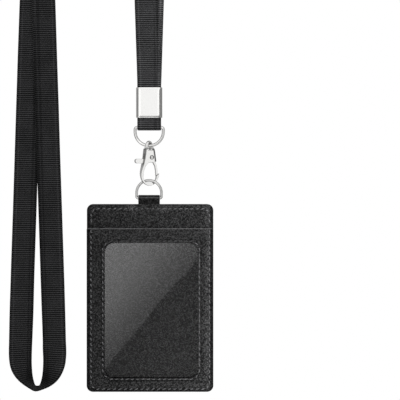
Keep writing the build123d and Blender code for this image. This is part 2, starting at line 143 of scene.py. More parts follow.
def make(name, verts, faces, material, body, node, uv=None):
    """Smooth shaded mesh object from points in mm; uv holds one pair for each vertex."""
    mesh = bpy.data.meshes.new(name)
    points = np.asarray(verts, float) * MM
    mesh.from_pydata([tuple(p) for p in points], [], [tuple(int(i) for i in f) for f in faces])
    mesh.validate()
    mesh.update()
    ob = link_object(name, mesh)
    if uv is not None:
        layer = mesh.uv_layers.new(name="UVMap")
        index = np.zeros(len(mesh.loops), dtype=np.int64)
        mesh.loops.foreach_get("vertex_index", index)
        layer.data.foreach_set("uv", np.asarray(uv, np.float32)[index].ravel())
    smooth_shade(mesh)
    mesh.materials.append(material)
    settle(ob, body, node)
    return ob


def mark_creases(ob, angle):
    """Keeps edges bent by more than angle (degrees) sharp."""
    bm = bmesh.new()
    bm.from_mesh(ob.data)
    for edge in bm.edges:
        if len(edge.link_faces) == 2:
            edge.smooth = edge.calc_face_angle(0.0) < math.radians(angle)
    bm.to_mesh(ob.data)
    bm.free()


def loft(rows, sides, base=0, closed=False):
    """Faces through rows of closed rings; unless closed end to end, the ends get caps."""
    faces = []
    for i in range(rows if closed else rows - 1):
        first, second = base + i * sides, base + (i + 1) % rows * sides
        for k in range(sides):
            k2 = (k + 1) % sides
            faces.append((first + k, first + k2, second + k2, second + k))
    if not closed:
        last = base + (rows - 1) * sides
        faces += [tuple(range(base, base + sides))[::-1], tuple(range(last, last + sides))]
    return faces


def tube(path, radius, sides, closed, hint):
    """Round wire along a path; hint is a direction the path never runs along."""
    path = np.asarray(path, float)
    if closed:
        along = np.roll(path, -1, 0) - np.roll(path, 1, 0)
    else:
        along = np.gradient(path, axis=0)
    along = unit_rows(along)
    side_a = unit_rows(np.cross(along, np.asarray(hint, float)))
    side_b = np.cross(along, side_a)
    angle = np.linspace(0, 2 * math.pi, sides, endpoint=False)[None, :, None]
    ring = np.cos(angle) * side_a[:, None, :] + np.sin(angle) * side_b[:, None, :]
    verts = (path[:, None, :] + radius * ring).reshape(-1, 3)
    return verts, loft(len(path), sides, closed=closed)


def arc(mid_a, mid_b, radius, start, end, steps=6):
    """Points of a circular arc between two angles in degrees, both ends included."""
    angles = [math.radians(start + (end - start) * k / steps) for k in range(steps + 1)]
    return [(mid_a + radius * math.cos(a), mid_b + radius * math.sin(a)) for a in angles]


# ------------------------------------------------------------------ shader helpers
class Signal:
    """A node's output. Arithmetic on it adds math nodes, in the order it is written."""

    def __init__(self, graph, socket):
        self.graph = graph
        self.socket = socket

    def out(self, output):
        """Another output of the same node."""
        return Signal(self.graph, self.socket.node.outputs[output])

    def clamp(self):
        """Holds the result of the math node that made this signal within 0 and 1."""
        self.socket.node.use_clamp = True
        return self

    def __lt__(self, other):
        return self.graph.math("LESS_THAN", self, other)

    def __gt__(self, other):
        return self.graph.math("GREATER_THAN", self, other)

    def __abs__(self):
        return self.graph.math("ABSOLUTE", self)

    def cos(self):
        return self.graph.math("COSINE", self)

    def sqrt(self):
        return self.graph.math("SQRT", self)

    def minimum(self, other):
        return self.graph.math("MINIMUM", self, other)

    def maximum(self, other):
        return self.graph.math("MAXIMUM", self, other)


def add_operator(word, operation):
    setattr(Signal, f"__{word}__", lambda self, other: self.graph.math(operation, self, other))
    setattr(Signal, f"__r{word}__", lambda self, other: self.graph.math(operation, other, self))


for word, operation in (("add", "ADD"), ("sub", "SUBTRACT"), ("mul", "MULTIPLY"),
                        ("truediv", "DIVIDE"), ("pow", "POWER")):
    add_operator(word, operation)


class Graph:
    """Adds nodes to a node tree."""

    def __init__(self, tree):
        self.nodes = tree.nodes
        self.links = tree.links

    def feed(self, socket, value):
        if isinstance(value, Signal):
            self.links.new(value.socket, socket)
        else:
            socket.default_value = value

    def add(self, kind, inputs=(), output=0, **settings):
        node = self.nodes.new("ShaderNode" + kind)
        for key, value in settings.items():
            setattr(node, key, value)
        for key, value in dict(inputs).items():
            self.feed(node.inputs[key], value)
        return Signal(self, node.outputs[output])

    def math(self, operation, *operands):
        return self.add("Math", dict(enumerate(operands)), operation=operation)

    def axes(self, vector):
        x = self.add("SeparateXYZ", {0: vector})
        return x, x.out(1), x.out(2)

    def ramp(self, fac, stops):
        """Colour ramp; a stop is (position, grey or RGB)."""
        made = self.add("ValToRGB", {"Fac": fac})
        elements = made.socket.node.color_ramp.elements
        while len(elements) < len(stops):
            elements.new(0.5)
        for element, (position, colour) in zip(elements, stops):
            element.position = position
            rgb = colour if isinstance(colour, tuple) else (colour,) * 3
            element.color = (*rgb, 1.0)
        return made

    def mix_shader(self, fac, first, second):
        return self.add("MixShader", {0: fac, 1: first, 2: second})

    def hump(self, value, centre, width):
        """Bell curve of height 1."""
        off = (value - centre) / width
        return 2.71828 ** (off * off * -1.0)

    def coords(self, scale=(1, 1, 1)):
        place = self.add("TexCoord", output="Object")
        return self.add("Mapping", {"Vector": place, "Scale": scale})

    def noise(self, vector, scale, detail=3.0, rough=0.55):
        inputs = {"Scale": scale, "Detail": detail, "Roughness": rough, "Vector": vector}
        return self.add("TexNoise", inputs, "Fac")

    def scaled(self, vector, factor):
        return self.add("VectorMath", {0: vector, "Scale": factor}, operation="SCALE")

    def bump(self, height, strength, distance, under=None):
        inputs = {"Strength": strength, "Distance": distance, "Height": height}
        if under is not None:
            inputs["Normal"] = under
        return self.add("Bump", inputs)


class Material(Graph):
    def __init__(self, name):
        self.made = bpy.data.materials.new(name)
        self.made.use_nodes = True
        super().__init__(self.made.node_tree)
        self.bsdf = self.nodes["Principled BSDF"]

    def principled(self, inputs):
        for key, value in inputs.items():
            self.feed(self.bsdf.inputs[key], value)
        return self.made

    def surface(self, shader):
        self.feed(self.nodes["Material Output"].inputs["Surface"], shader)
        return self.made


# ------------------------------------------------------------------ leather
def window_painted_shading(mat, x, z):
    """Painted light and shade on the leather round the window: dark lines of painted shadow,
    darkest along its lower side, and a painted highlight.
    """

    def past_corner(axis, middle, half):
        return (abs(axis - middle * MM) - (half - WIN_CR) * MM).maximum(0.0)

    out_x = past_corner(x, WIN_X, WIN_W / 2)
    out_z = past_corner(z, WIN_MID_Z, WIN_HALF_H)
    edge = (out_x * out_x + out_z * out_z).sqrt() - WIN_CR * MM
    under = (((WIN_BOT + 7.0) * MM - z) / (6.0 * MM)).clamp()
    right = ((x - (WIN_X + WIN_W / 2 - 3.0) * MM) / (2.0 * MM)).clamp()
    # painted shadow in a dark line at the cut and a second one outside it, and a painted
    # highlight on a lip on the right
    dark = mat.hump(edge, 0.10 * MM, 0.45 * MM) * (0.10 + under * 0.82)
    dark = dark + mat.hump(edge, 1.95 * MM, 0.40 * MM) * (0.30 + under * 0.35)
    bright = mat.hump(edge, 0.55 * MM, 0.5 * MM) * right * (0.55 - under * 0.55)
    return (1.0 + bright - dark).maximum(0.05)


def mat_leather(name, mouth=False, slot=False, tone=1.0):
    """Black pebbled leather, with painted light and shade placed by position; mouth and slot add
    the marks of the window and rear slot panels, painted shade among them.
    """
    mat = Material(name)
    place = mat.coords()
    x, y, z = mat.axes(place)

    # pebbles: warped cells, each with its own random draw
    jitter = mat.add("TexNoise", {"Scale": 900, "Vector": place}, "Color")
    warped = mat.add("VectorMath", {0: place, 1: mat.scaled(jitter, 0.0005)}, operation="ADD")

    def voronoi(feature, output):
        inputs = {"Scale": 1900, "Vector": warped}
        return mat.add("TexVoronoi", inputs, output, feature=feature)

    cells = voronoi("DISTANCE_TO_EDGE", "Distance").minimum(0.32)
    draw = mat.add("SeparateColor", {0: voronoi("F1", "Color")})
    fine = mat.noise(place, scale=4200, detail=3)
    broad = mat.noise(place, scale=160, detail=2)
    pebbles = mat.bump(cells * 2.2 + fine * 0.35 + draw * 0.35, strength=1.0, distance=0.00024)
    normal = mat.bump(broad, strength=0.35, distance=0.0006, under=pebbles)

    # painted light: brighter towards the right, most of all low down
    side = ((x - (HOLD_X - HOLD_W / 2) * MM) / (HOLD_W * MM)).clamp()
    low = ((-0.235 - z) / 0.048).clamp()
    light = 0.64 + side * (0.52 + low * 0.22)
    # painted sheen down the right edge and painted highlights over the bulges at the tab's feet
    front = y < -0.0006
    strip = mat.hump(x, (HOLD_X + 34.9) * MM, 1.5 * MM) * (0.35 + broad * 0.7)
    foot = (mat.hump(abs(x - CLASP_X * MM), 9.6 * MM, 2.6 * MM)
            * mat.hump(z, -0.1712, 0.0017))
    sheen = front * (strip * 0.9 + foot * 1.5)
    # the leather seen through the window, which gets painted light: drawn brighter, with stronger
    # speckle
    pane = ((abs(x - WIN_X * MM) < (WIN_W / 2 + 0.5) * MM)
            * (abs(z - WIN_MID_Z * MM) < (WIN_HALF_H + 0.5) * MM))
    pane = pane * front * (y > -0.0024)
    light = (light + sheen) * tone
    # painted shade: outside the seam the edge turns away and goes dark
    rim = (HOLD_W / 2 * MM - abs(x - HOLD_X * MM)).minimum(z - HOLD_BOT * MM)
    rim = ((rim - 1.45 * MM) / (0.7 * MM)).clamp()
    light = light * (0.42 + rim * 0.58)
    # painted light: the leather seen through the window is drawn brighter
    light = light * (1.0 + pane * 2.4)

    # speckle of single pebbles, with painted shade in the valleys; under the window painted light
    # makes it brighter and stronger
    speck = (draw ** 1.6 * 1.25 + (fine - 0.5) * 1.2).clamp()
    speck = speck * (0.45 + cells * 1.9)
    speck = speck ** (1.0 + pane * 0.35) * (1.0 + pane * 0.28)
    base = light * (0.0045 + speck * 0.050)

    if mouth:
        # painted shade and highlight round the window's cut
        painted_window_shade = window_painted_shading(mat, x, z)
        base = base * painted_window_shade
        light = light * painted_window_shade
        # pale line of the panel's top edge: the paler cut edge, with a painted highlight where
        # the rolled edge catches light from above
        line = mat.hump(z, (POCKET_Z - 0.05) * MM, 0.13 * MM) * (0.6 + broad * 0.6)
        base = base + line * (y < -0.0026) * 0.19
    if slot:
        # cut edge of the slot and its notch: pale at the cut, and a painted shadow of a pressed
        # line beside it
        from_x = x - HOLD_X * MM
        from_z = z - SLOT_TOP * MM
        from_mid = (from_x * from_x + from_z * from_z).sqrt()
        edge = (from_z * -1.0).minimum(from_mid - NOTCH_R * MM)
        base = base * (1.0 - mat.hump(edge, 1.6 * MM, 0.38 * MM) * 0.6)
        base = base + mat.hump(edge, 0.08 * MM, 0.16 * MM) * 0.12
    if tone < 1.0:
        # highlight across the front of the tab's bend
        base = base + front * mat.hump(z, -0.16465, 0.00025) * 0.06

    return mat.principled({
        "Normal": normal,
        "Base Color": mat.add("CombineColor", {0: base, 1: base, 2: base * 1.02}),
        "Roughness": fine * 0.16 + (0.50 - cells * 0.25),
        "Specular IOR Level": light * (0.06 + speck * 0.70),
    })


# ------------------------------------------------------------------ webbing, thread, film, board
def mat_webbing():
    mat = Material("ribbed_webbing")
    # the UV map holds mm: across the webbing and along it
    across, along, _ = mat.axes(mat.add("TexCoord", output="UV"))
    place = mat.coords()

    def wave(phase):
        return phase.cos() * 0.5 + 0.5

    # weft ribs, warp ends, a pale band and the twilled selvedge
    rib = wave(along * (2 * math.pi / RIB))
    warp = wave(across * (2 * math.pi / 0.48))
    off_mid = abs(across)
    selvedge = off_mid > 6.0
    band = (off_mid > 4.7) * (off_mid < 5.3)
    twill = wave(along * (2 * math.pi / (RIB / 2)) + across * 6.5)
    fuzz = mat.noise(place, scale=2600, detail=4, rough=0.6)
    dirt = mat.noise(place, scale=90, detail=3)
    weave = (rib * 0.55 + warp * 0.22 + fuzz * 0.35 + band * 0.17
             - selvedge * (twill * 0.22) + (dirt - 0.5) * 0.25)
    colour = mat.ramp(weave, [(0.18, (0.0012, 0.0012, 0.0013)), (0.50, (0.014, 0.014, 0.0145)),
                              (0.95, (0.080, 0.080, 0.083))])

    # painted shade: the left strand is darker, darkest between its two spreading plies
    x, _, z = mat.axes(place)
    left = 1.0 - ((x + 0.005) / 0.025).clamp()
    reach = 0.0013 + (-0.057 - z) * 0.0255
    close = abs(x + HANG_R * MM) - reach < 0.0
    shade = 1.0 - left * (0.50 + close * 0.17)
    # painted shade: the bottom of the fold is darker still
    turned = ((-0.2675 - z) / 0.008).clamp()
    shade = shade * (1.0 - turned * 0.68)
    # painted shadow and painted highlight: two bands towards the right of the right strand, a
    # darker one, then a lighter one
    darker = (x > 0.0366) * (x < 0.0394)
    lighter = (x > 0.0394) * (z > -0.1)
    shade = shade * (1.0 + (lighter * 0.75 - darker * 0.30))
    height = warp * 0.45 + fuzz * 0.5 + twill * (selvedge * 0.5)
    return mat.principled({
        "Base Color": mat.scaled(colour, shade),
        "Specular IOR Level": shade * 0.09,
        "Normal": mat.bump(height, strength=0.6, distance=0.00012),
        "Roughness": 0.72,
        "Sheen Weight": 0.03,
        "Sheen Roughness": 0.5,
    })


def mat_thread():
    mat = Material("twisted_thread")
    # UV: turns round the thread, mm along it
    around, along, _ = mat.axes(mat.add("TexCoord", output="UV"))
    ply = (around * (4 * math.pi) + along * 9.0).cos() * 0.5 + 0.5
    place = mat.coords()
    fuzz = mat.noise(place, scale=6000, detail=3)
    twist = ply * 0.7 + fuzz * 0.4
    # painted light and shade: the row over the window is darker, and the thread brightens to the
    # right
    x, _, z = mat.axes(place)
    row = (z > (WIN_TOP + 0.4) * MM) * (z < (WIN_TOP + 2.4) * MM)
    row = row * (abs(x - WIN_X * MM) < (WIN_W / 2 - 1) * MM)
    far = ((x - 0.0) / 0.070).clamp() ** 3.0
    colour = mat.ramp(twist, [(0.1, (0.05, 0.05, 0.052)), (0.7, (0.17, 0.17, 0.175)),
                              (1.0, (0.27, 0.27, 0.28))])
    return mat.principled({
        "Base Color": mat.scaled(colour, 0.78 + far * 0.45 - row * 0.55),
        "Roughness": 0.6,
        "Sheen Weight": 0.2,
        "Normal": mat.bump(twist, strength=0.8, distance=0.00008),
    })


def mat_film():
    """Clear sheet: see-through, with a mirror glare that grows at flat angles."""
    mat = Material("clear_vinyl_film")
    place = mat.coords()
    waves = mat.bump(mat.noise(place, scale=28, detail=2), strength=0.06, distance=0.0002)
    normal = mat.bump(mat.noise(place, scale=1500, detail=3), strength=0.02,
                      distance=0.00001, under=waves)
    scratch = mat.noise(mat.coords((40, 1, 900)), scale=1.0, detail=2)
    clear = mat.add("BsdfTransparent", {"Color": (0.936, 0.936, 0.936, 1)})
    gloss = mat.add("BsdfGlossy", {"Color": (1, 1, 1, 1), "Normal": normal,
                                   "Roughness": 0.006 + scratch * 0.012})
    fresnel = mat.add("Fresnel", {"IOR": 1.5, "Normal": normal})
    mat.nodes.remove(mat.bsdf)
    return mat.surface(mat.mix_shader((fresnel * 1.6).clamp(), clear, gloss))


def mat_board():
    mat = Material("fibre_board")
    streaks = mat.noise(mat.coords((900, 900, 120)), scale=1.0, detail=4)
    grain = mat.noise(mat.coords(), scale=2500, detail=3)
    fibre = streaks * 0.6 + grain * 0.4
    return mat.principled({
        "Base Color": mat.ramp(fibre, [(0.3, (0.16, 0.14, 0.12)), (0.7, (0.26, 0.24, 0.21))]),
        "Roughness": 0.9,
        "Normal": mat.bump(fibre, strength=0.5, distance=0.0001),
    })


# ------------------------------------------------------------------ metal
def mat_metal(name, rough, tone, rim=None, extra=None, edges=0.0):
    """Bright plating. rim: ramp of painted shade where it turns away, as polished metal looks in
    a white room; edges: how much painted shade darkens raised edges; extra: local painted light
    and shade."""
    mat = Material(name)
    place = mat.coords()
    broad = mat.noise(place, scale=260, detail=4)
    fine = mat.noise(place, scale=3000, detail=3)
    shade = tone * 0.95 + broad * (tone * 0.09)
    if rim:
        shade = shade * mat.ramp(mat.add("LayerWeight", {"Blend": 0.5}, "Facing"), rim)
    if edges:
        # painted shade by pointiness: on raised edges, and in the hollows as well
        painted_edge_shade = 1 - edges
        pointed = mat.add("NewGeometry", output="Pointiness")
        shade = shade * mat.ramp(pointed, [(0.0, 0.5), (0.47, 0.95), (0.51, 1.0),
                                           (0.535, painted_edge_shade), (1.0, painted_edge_shade)])
    if extra:
        shade = shade * extra(mat, place)
    colour = mat.add("CombineColor", {0: shade, 1: shade * 0.995, 2: shade * 0.98})
    dents = mat.bump(broad, strength=0.12, distance=0.00025)
    return mat.principled({
        "Metallic": 1.0,
        "Base Color": colour,
        "Specular IOR Level": 0.2,
        "Roughness": broad * 0.04 + (fine * 0.025 + rough),
        "Normal": mat.bump(fine, strength=0.10, distance=0.00003, under=dents),
    })


def crimp_painted_shading(mat, place):
    # painted shade makes the folded sides darker than the struck face, and a painted highlight
    # makes its border the brightest part
    normal_x, _, _ = mat.axes(mat.add("NewGeometry", output="True Normal"))
    side = mat.ramp(normal_x * 0.5 + 0.5, [(0.0, 0.40), (0.35, 0.42), (0.42, 1.0), (0.64, 1.0),
                                           (0.71, 0.22), (0.84, 0.26), (1.0, 0.50)])
    x, _, z = mat.axes(place)
    past_x = abs(x - CRIMP_X * MM) - 5.15 * MM
    past_z = (abs(z - (CRIMP_TOP + CRIMP_BOT) / 2 * MM)
              - ((CRIMP_TOP - CRIMP_BOT) / 2 - 1.0) * MM)
    border = past_x.maximum(past_z) > 0.0
    return side * (0.94 + border * 0.14)


def clasp_painted_shading(mat, place):
    # painted shadow: dark arched line where the swivel's foot meets the collar
    x, y, z = mat.axes(place)
    off = (x - CLASP_X * MM) / (3.1 * MM)
    arch_z = -0.13555 + (1.0 - off * off) * 0.0006
    line = mat.hump(z, arch_z, 0.00030)
    # painted shade: dark strip along the body's slanting edge
    across = (x - CLASP_X * MM) * CLASP_COS + y * CLASP_SIN
    edge = 2.75 * MM + (-0.13495 - z) * 0.1634
    near = ((across - (edge - 0.00125)) / 0.0003).clamp()
    body = (z > -0.1428) * (z < -0.1357)
    dark = (line * 0.72).maximum(near * body * 0.85)
    # painted highlight: the hook's narrow side catches more light than the body's
    normal_x, normal_y, _ = mat.axes(mat.add("NewGeometry", output="Normal"))
    away = normal_x * -CLASP_COS + normal_y * -CLASP_SIN
    away = ((away - 0.35) / 0.3).clamp()
    low = ((-0.1435 - z) / 0.003).clamp()
    return (1.0 - dark) * (1.0 + away * low * 0.9)


LEATHER = mat_leather("pebbled_leather")
WEB = mat_webbing()
THREAD = mat_thread()
FILM = mat_film()
BOARD = mat_board()
LEATHER_MOUTH = mat_leather("pebbled_leather_mouth", mouth=True)
LEATHER_TAB = mat_leather("strap_leather", tone=0.62)
LEATHER_SLOT = mat_leather("pebbled_leather_slot", slot=True)
# rim stops of the painted shade: (how far the surface faces away, brightness)
WIRE = mat_metal("nickel_wire", rough=0.08, tone=0.90,
                 rim=[(0.0, 1.0), (0.16, 1.0), (0.30, 0.42), (0.55, 0.14), (1.0, 0.30)])
WIRE_LOW = mat_metal("nickel_wire_holder", rough=0.14, tone=0.74,
                     rim=[(0.0, 1.0), (0.18, 1.0), (0.32, 0.50), (0.55, 0.18), (1.0, 0.30)])
CAST = mat_metal("nickel_casting", rough=0.12, tone=0.90, extra=clasp_painted_shading, edges=0.65,
                 rim=[(0.0, 1.0), (0.17, 1.0), (0.34, 0.50), (0.60, 0.22), (1.0, 0.30)])
EYE = mat_metal("nickel_eye", rough=0.12, tone=0.92, extra=clasp_painted_shading,
                rim=[(0.0, 1.0), (0.28, 1.0), (0.50, 0.55), (0.75, 0.30), (1.0, 0.4)])
RIVET = mat_metal("rivet_nickel", rough=0.12, tone=0.80,
                  rim=[(0.0, 1.0), (0.15, 0.9), (0.20, 0.25), (0.60, 0.12), (1.0, 0.2)])
# painted shade: a dark copy of the nickel for the rivet head's rim band
RIVET_RIM = mat_metal("rivet_edge_nickel", rough=0.2, tone=0.20)
SHEET = mat_metal("nickel_sheet", rough=0.16, tone=0.90, extra=crimp_painted_shading)
STEEL = mat_metal("spring_steel", rough=0.25, tone=0.55)


# ------------------------------------------------------------------ strap path
# Each strand has two plies: +1 is outer on the top bend and lies behind below the twist,
# -1 is inner and lies in front. Columns: z, sideways shift of the ply.
RIGHT_SHIFT = {
    1: [(0, 0.0), (TWIST_Z, 1.74), (-93.3, 0.2), (-97.9, 0.0)],
    -1: [(0, 0.0), (TWIST_Z, -1.72), (-93.3, -0.08), (-97.9, 0.0)],
}
LEFT_SHIFT = {
    1: [(0, 0.0), (TWIST_Z, -3.59), (-75.2, -4.67), (-111.5, -5.82), (-172, -7.70),
        (-208.5, -8.89), (-244.9, -9.88), (-257, -10.24)],
    -1: [(0, 0.0), (TWIST_Z, 3.8), (-75.2, 4.73), (-111.5, 5.93), (-136, 6.65), (-172, 7.85),
         (-208.5, 9.01), (-244.9, 10.12), (-257, 10.42)],
}
# The fold's two edges from the left ply round to the right one, as the camera sees them on the
# plane y = 0. Columns: outer x, outer z, inner x, inner z.
FOLD = [
    (-51.23, -257.0, -37.11, -256.1), (-51.12, -261.8, -37.24, -261.2),
    (-50.70, -265.5, -37.28, -264.5), (-49.70, -269.1, -37.19, -267.6),
    (-48.06, -272.1, -37.03, -270.3), (-45.52, -275.2, -36.79, -272.7),
    (-42.71, -277.6, -36.42, -274.8), (-39.58, -279.6, -35.94, -276.7),
    (-37.15, -281.1, -35.58, -277.9), (-35.58, -281.9, -35.09, -278.8),
    (-34.24, -281.85, -33.94, -278.85), (-32.91, -281.5, -32.73, -278.8),
    (-30.55, -280.7, -32.12, -277.8), (-27.94, -279.7, -31.76, -276.7),
    (-24.67, -277.9, -31.27, -274.8), (-22.18, -275.9, -30.88, -272.7),
    (-19.64, -272.5, -30.64, -270.3), (-18.00, -269.1, -30.48, -267.6),
    (-16.91, -265.5, -30.39, -264.5), (-16.48, -261.8, -30.42, -261.2),
    (-16.42, -257.0, -30.55, -256.1),
]


def ply_section(z, hand, side, gap, shifts):
    """Centre and widthwise direction of a ply; hand is +1 on the right strand, -1 on the left."""
    turn = math.pi / 2 * smooth((z - TWIST_Z) / -TWIST_Z)
    normal = np.array((hand * math.sin(turn), math.cos(turn), 0.0))
    across = np.array((math.cos(turn), -hand * math.sin(turn), 0.0))
    levels, values = zip(*shifts[::-1])
    shift = float(np.interp(z, levels, values))
    centre = np.array((hand * HANG_R, 0.0, z)) + normal * side * gap + across * shift
    return centre, across


def right_section(z, side):
    # the plies spread to make room for a third one in the crimp
    gap = PLY_GAP / 2 + (CRIMP_PITCH - PLY_GAP / 2) * smooth((-86 - z) / 11.0)
    return ply_section(z, 1, side, gap, RIGHT_SHIFT[side])


def left_section(z, side):
    # the plies come into one plane, then turn towards the fold
    gap = PLY_GAP / 2 * (1 - smooth((-165 - z) / 80.0))
    centre, across = ply_section(z, -1, side, gap, LEFT_SHIFT[side])
    if z < -215:
        turn = math.radians(21.0 if side > 0 else 7.0) * smooth((-215 - z) / 42.0)
        across = np.array((math.cos(turn), math.sin(turn) * side, 0.0))
    return centre, across


def strand(section, side, levels, sign):
    for z in levels:
        centre, across = section(z, side)
        yield centre, sign * across


def top_bend(side, degrees):
    radius = HANG_R + side * PLY_GAP / 2
    for a in np.radians(degrees):
        yield (radius * math.cos(a), 0, radius * math.sin(a)), (0, -side, 0)


def fold_edges(outer_x, outer_z, inner_x, inner_z):
    """Outer edge nearer the front, inner edge behind it, as far apart as the webbing is wide."""
    eye_x, eye_y, eye_z = CAMERA

    def at_depth(x, y, z):
        scale = 1 - y / eye_y
        return np.array((eye_x + (x - eye_x) * scale, y, eye_z + (z - eye_z) * scale))

    depth = 3.0
    for _ in range(8):
        outer = at_depth(outer_x, -depth / 2, outer_z)
        inner = at_depth(inner_x, depth / 2, inner_z)
        flat = (outer[0] - inner[0]) ** 2 + (outer[2] - inner[2]) ** 2
        depth = math.sqrt(max(0.0, STRAP_W ** 2 - flat))
    return outer, inner


def fold_stations():
    """A smooth curve through the fold's edge pairs, led in and out by the straight plies."""
    half = STRAP_W / 2
    lead_in = [left_section(z, 1) for z in (-240, -246, -252)]
    lead_out = [left_section(z, -1) for z in (-252, -246, -240)]
    pairs = [(centre - across * half, centre + across * half) for centre, across in lead_in]
    pairs += [fold_edges(*row) for row in FOLD]
    pairs += [(centre + across * half, centre - across * half) for centre, across in lead_out]
    outer, inner = (np.array(edge) for edge in zip(*pairs))
    steps = (np.linalg.norm(np.diff((outer + inner) / 2, axis=0), axis=1)
             + 0.35 * np.linalg.norm(np.diff(outer - inner, axis=0), axis=1))
    knots = np.concatenate([[0], np.cumsum(steps)])
    fine = np.linspace(knots[2], knots[-3], 260)

    def spline(values):
        # Hermite curve, with tangents worked out over the uneven knots
        slope = np.gradient(values, knots, axis=0)
        k = np.clip(np.searchsorted(knots, fine, side="right") - 1, 0, len(knots) - 2)
        span = (knots[k + 1] - knots[k])[:, None]
        t = (fine - knots[k])[:, None] / span
        return ((2 * t ** 3 - 3 * t ** 2 + 1) * values[k]
                + (t ** 3 - 2 * t ** 2 + t) * span * slope[k]
                + (-2 * t ** 3 + 3 * t ** 2) * values[k + 1]
                + (t ** 3 - t ** 2) * span * slope[k + 1])

    for a, b in zip(spline(outer), spline(inner)):
        yield (a + b) / 2, (a - b) / np.linalg.norm(a - b)


def ring_loop():
    """Front ply down through the crimp, under the ring's bar and back up between the plies."""
    pitch, radius = CRIMP_PITCH, LOOP_R + STRAP_T / 2
    profile = [                 # columns: y, z
        (-pitch, -98.5), (-pitch, -104.0), (-pitch, -110.0), (-pitch, -116.0),
        (-pitch - 0.06, -117.0), (-pitch - 0.2, -118.2), (-radius + 0.1, -120.2),
        (-radius, -121.5),
        *arc(0, UPPER_BAR_Z, radius, 180, 360, 24),
        (radius, -121.5), (radius - 0.14, -120.2), (0.62, -118.2), (0.2, -117.0),
        (0.0, -116.0), (0, -110), (0, -104), (0, -99.2),
    ]
    for y, z in profile:
        yield (CRIMP_X, y, z), (-1, 0, 0)


def strap_stations():
    """Centres and widthwise directions along the whole webbing, from its end in the crimp."""
    stations = [
        *strand(right_section, 1, np.arange(-115.9, 0.01, 0.6), 1),
        *top_bend(1, np.arange(0, 180.1, 1.0)),
        *strand(left_section, 1, np.arange(0, -252.01, -0.6), -1),
        *fold_stations(),
        *strand(left_section, -1, np.arange(-252, 0.01, 0.6), 1),
        *top_bend(-1, np.arange(180, -0.1, -1.0)),
        *strand(right_section, -1, np.arange(0, -97.9, -0.6), -1),
        *ring_loop(),
    ]
    centres, across = (np.array(part, float) for part in zip(*stations))
    apart = np.linalg.norm(np.diff(centres, axis=0), axis=1) > 1e-3
    keep = np.concatenate([[True], apart])
    return centres[keep], across[keep]


def blurred(values, kernel):
    pad = len(kernel) // 2
    padded = np.pad(values, ((pad, pad), (0, 0)), mode="edge")
    columns = [np.convolve(padded[:, j], kernel, "valid") for j in range(values.shape[1])]
    return np.stack(columns, 1)


def build_strap():
    centres, across = strap_stations()
    lengths = np.linalg.norm(np.diff(centres, axis=0), axis=1)
    knots = np.concatenate([[0], np.cumsum(lengths)])
    count = int(knots[-1] / (RIB / 6))
    along = np.linspace(0, knots[-1], count)
    centres = np.stack([np.interp(along, knots, centres[:, k]) for k in range(3)], 1)
    across = np.stack([np.interp(along, knots, across[:, k]) for k in range(3)], 1)

    # ease small kinks where the pieces meet, but leave the tight loop round the ring
    kernel = np.exp(-0.5 * (np.arange(-12, 13) / 4.0) ** 2)
    kernel /= kernel.sum()
    in_loop = ((centres[:, 2] < -116) & (centres[:, 0] > 0))[:, None]
    across = unit_rows(blurred(across, kernel))
    centres = np.where(in_loop, centres, blurred(centres, kernel))
    tangent = unit_rows(np.gradient(centres, along, axis=0))
    short_kernel = kernel[6:19] / kernel[6:19].sum()
    normal = unit_rows(blurred(np.cross(tangent, across), short_kernel))

    # cross-section stations from edge to edge, with rounded, firmer edges
    widths = np.array([-7.2, -7.12, -6.95, -6.6, -6.1, -5.6, -4.2, -2.1, 0,
                       2.1, 4.2, 5.6, 6.1, 6.6, 6.95, 7.12, 7.2])
    edge = np.sqrt(np.clip(1 - (np.clip(np.abs(widths) - 6.75, 0, None) / 0.45) ** 2, 0, 1))
    rib_depth = 0.11 * np.where(np.abs(widths) > 6.3, 0.6, 1.0)
    wave = np.cos(2 * math.pi * along / RIB)

    def half_thickness(sign):
        rib = (0.5 + sign * 0.5 * wave) ** 0.8
        return ((0.33 + rib_depth[None, :] * rib[:, None]) * edge[None, :])[:, :, None]

    # the weft pulls the edge in a little at every rib
    spread = widths[None, :] * (1 + 0.003 * wave)[:, None] / 1.003
    middle = centres[:, None, :] + across[:, None, :] * spread[:, :, None]
    top = middle + normal[:, None, :] * half_thickness(1)
    bottom = (middle - normal[:, None, :] * half_thickness(-1))[:, ::-1, :][:, 1:-1, :]
    ring = np.concatenate([top, bottom], 1)
    sides = ring.shape[1]
    ring_widths = np.concatenate([widths, widths[::-1][1:-1]])
    uv = np.stack([np.broadcast_to(ring_widths[None, :], (count, sides)),
                   np.broadcast_to(along[:, None], (count, sides))], -1).reshape(-1, 2)
    make("strap_webbing", ring.reshape(-1, 3), loft(count, sides), WEB,
         "strap", "neck_strap", uv)


build_strap()


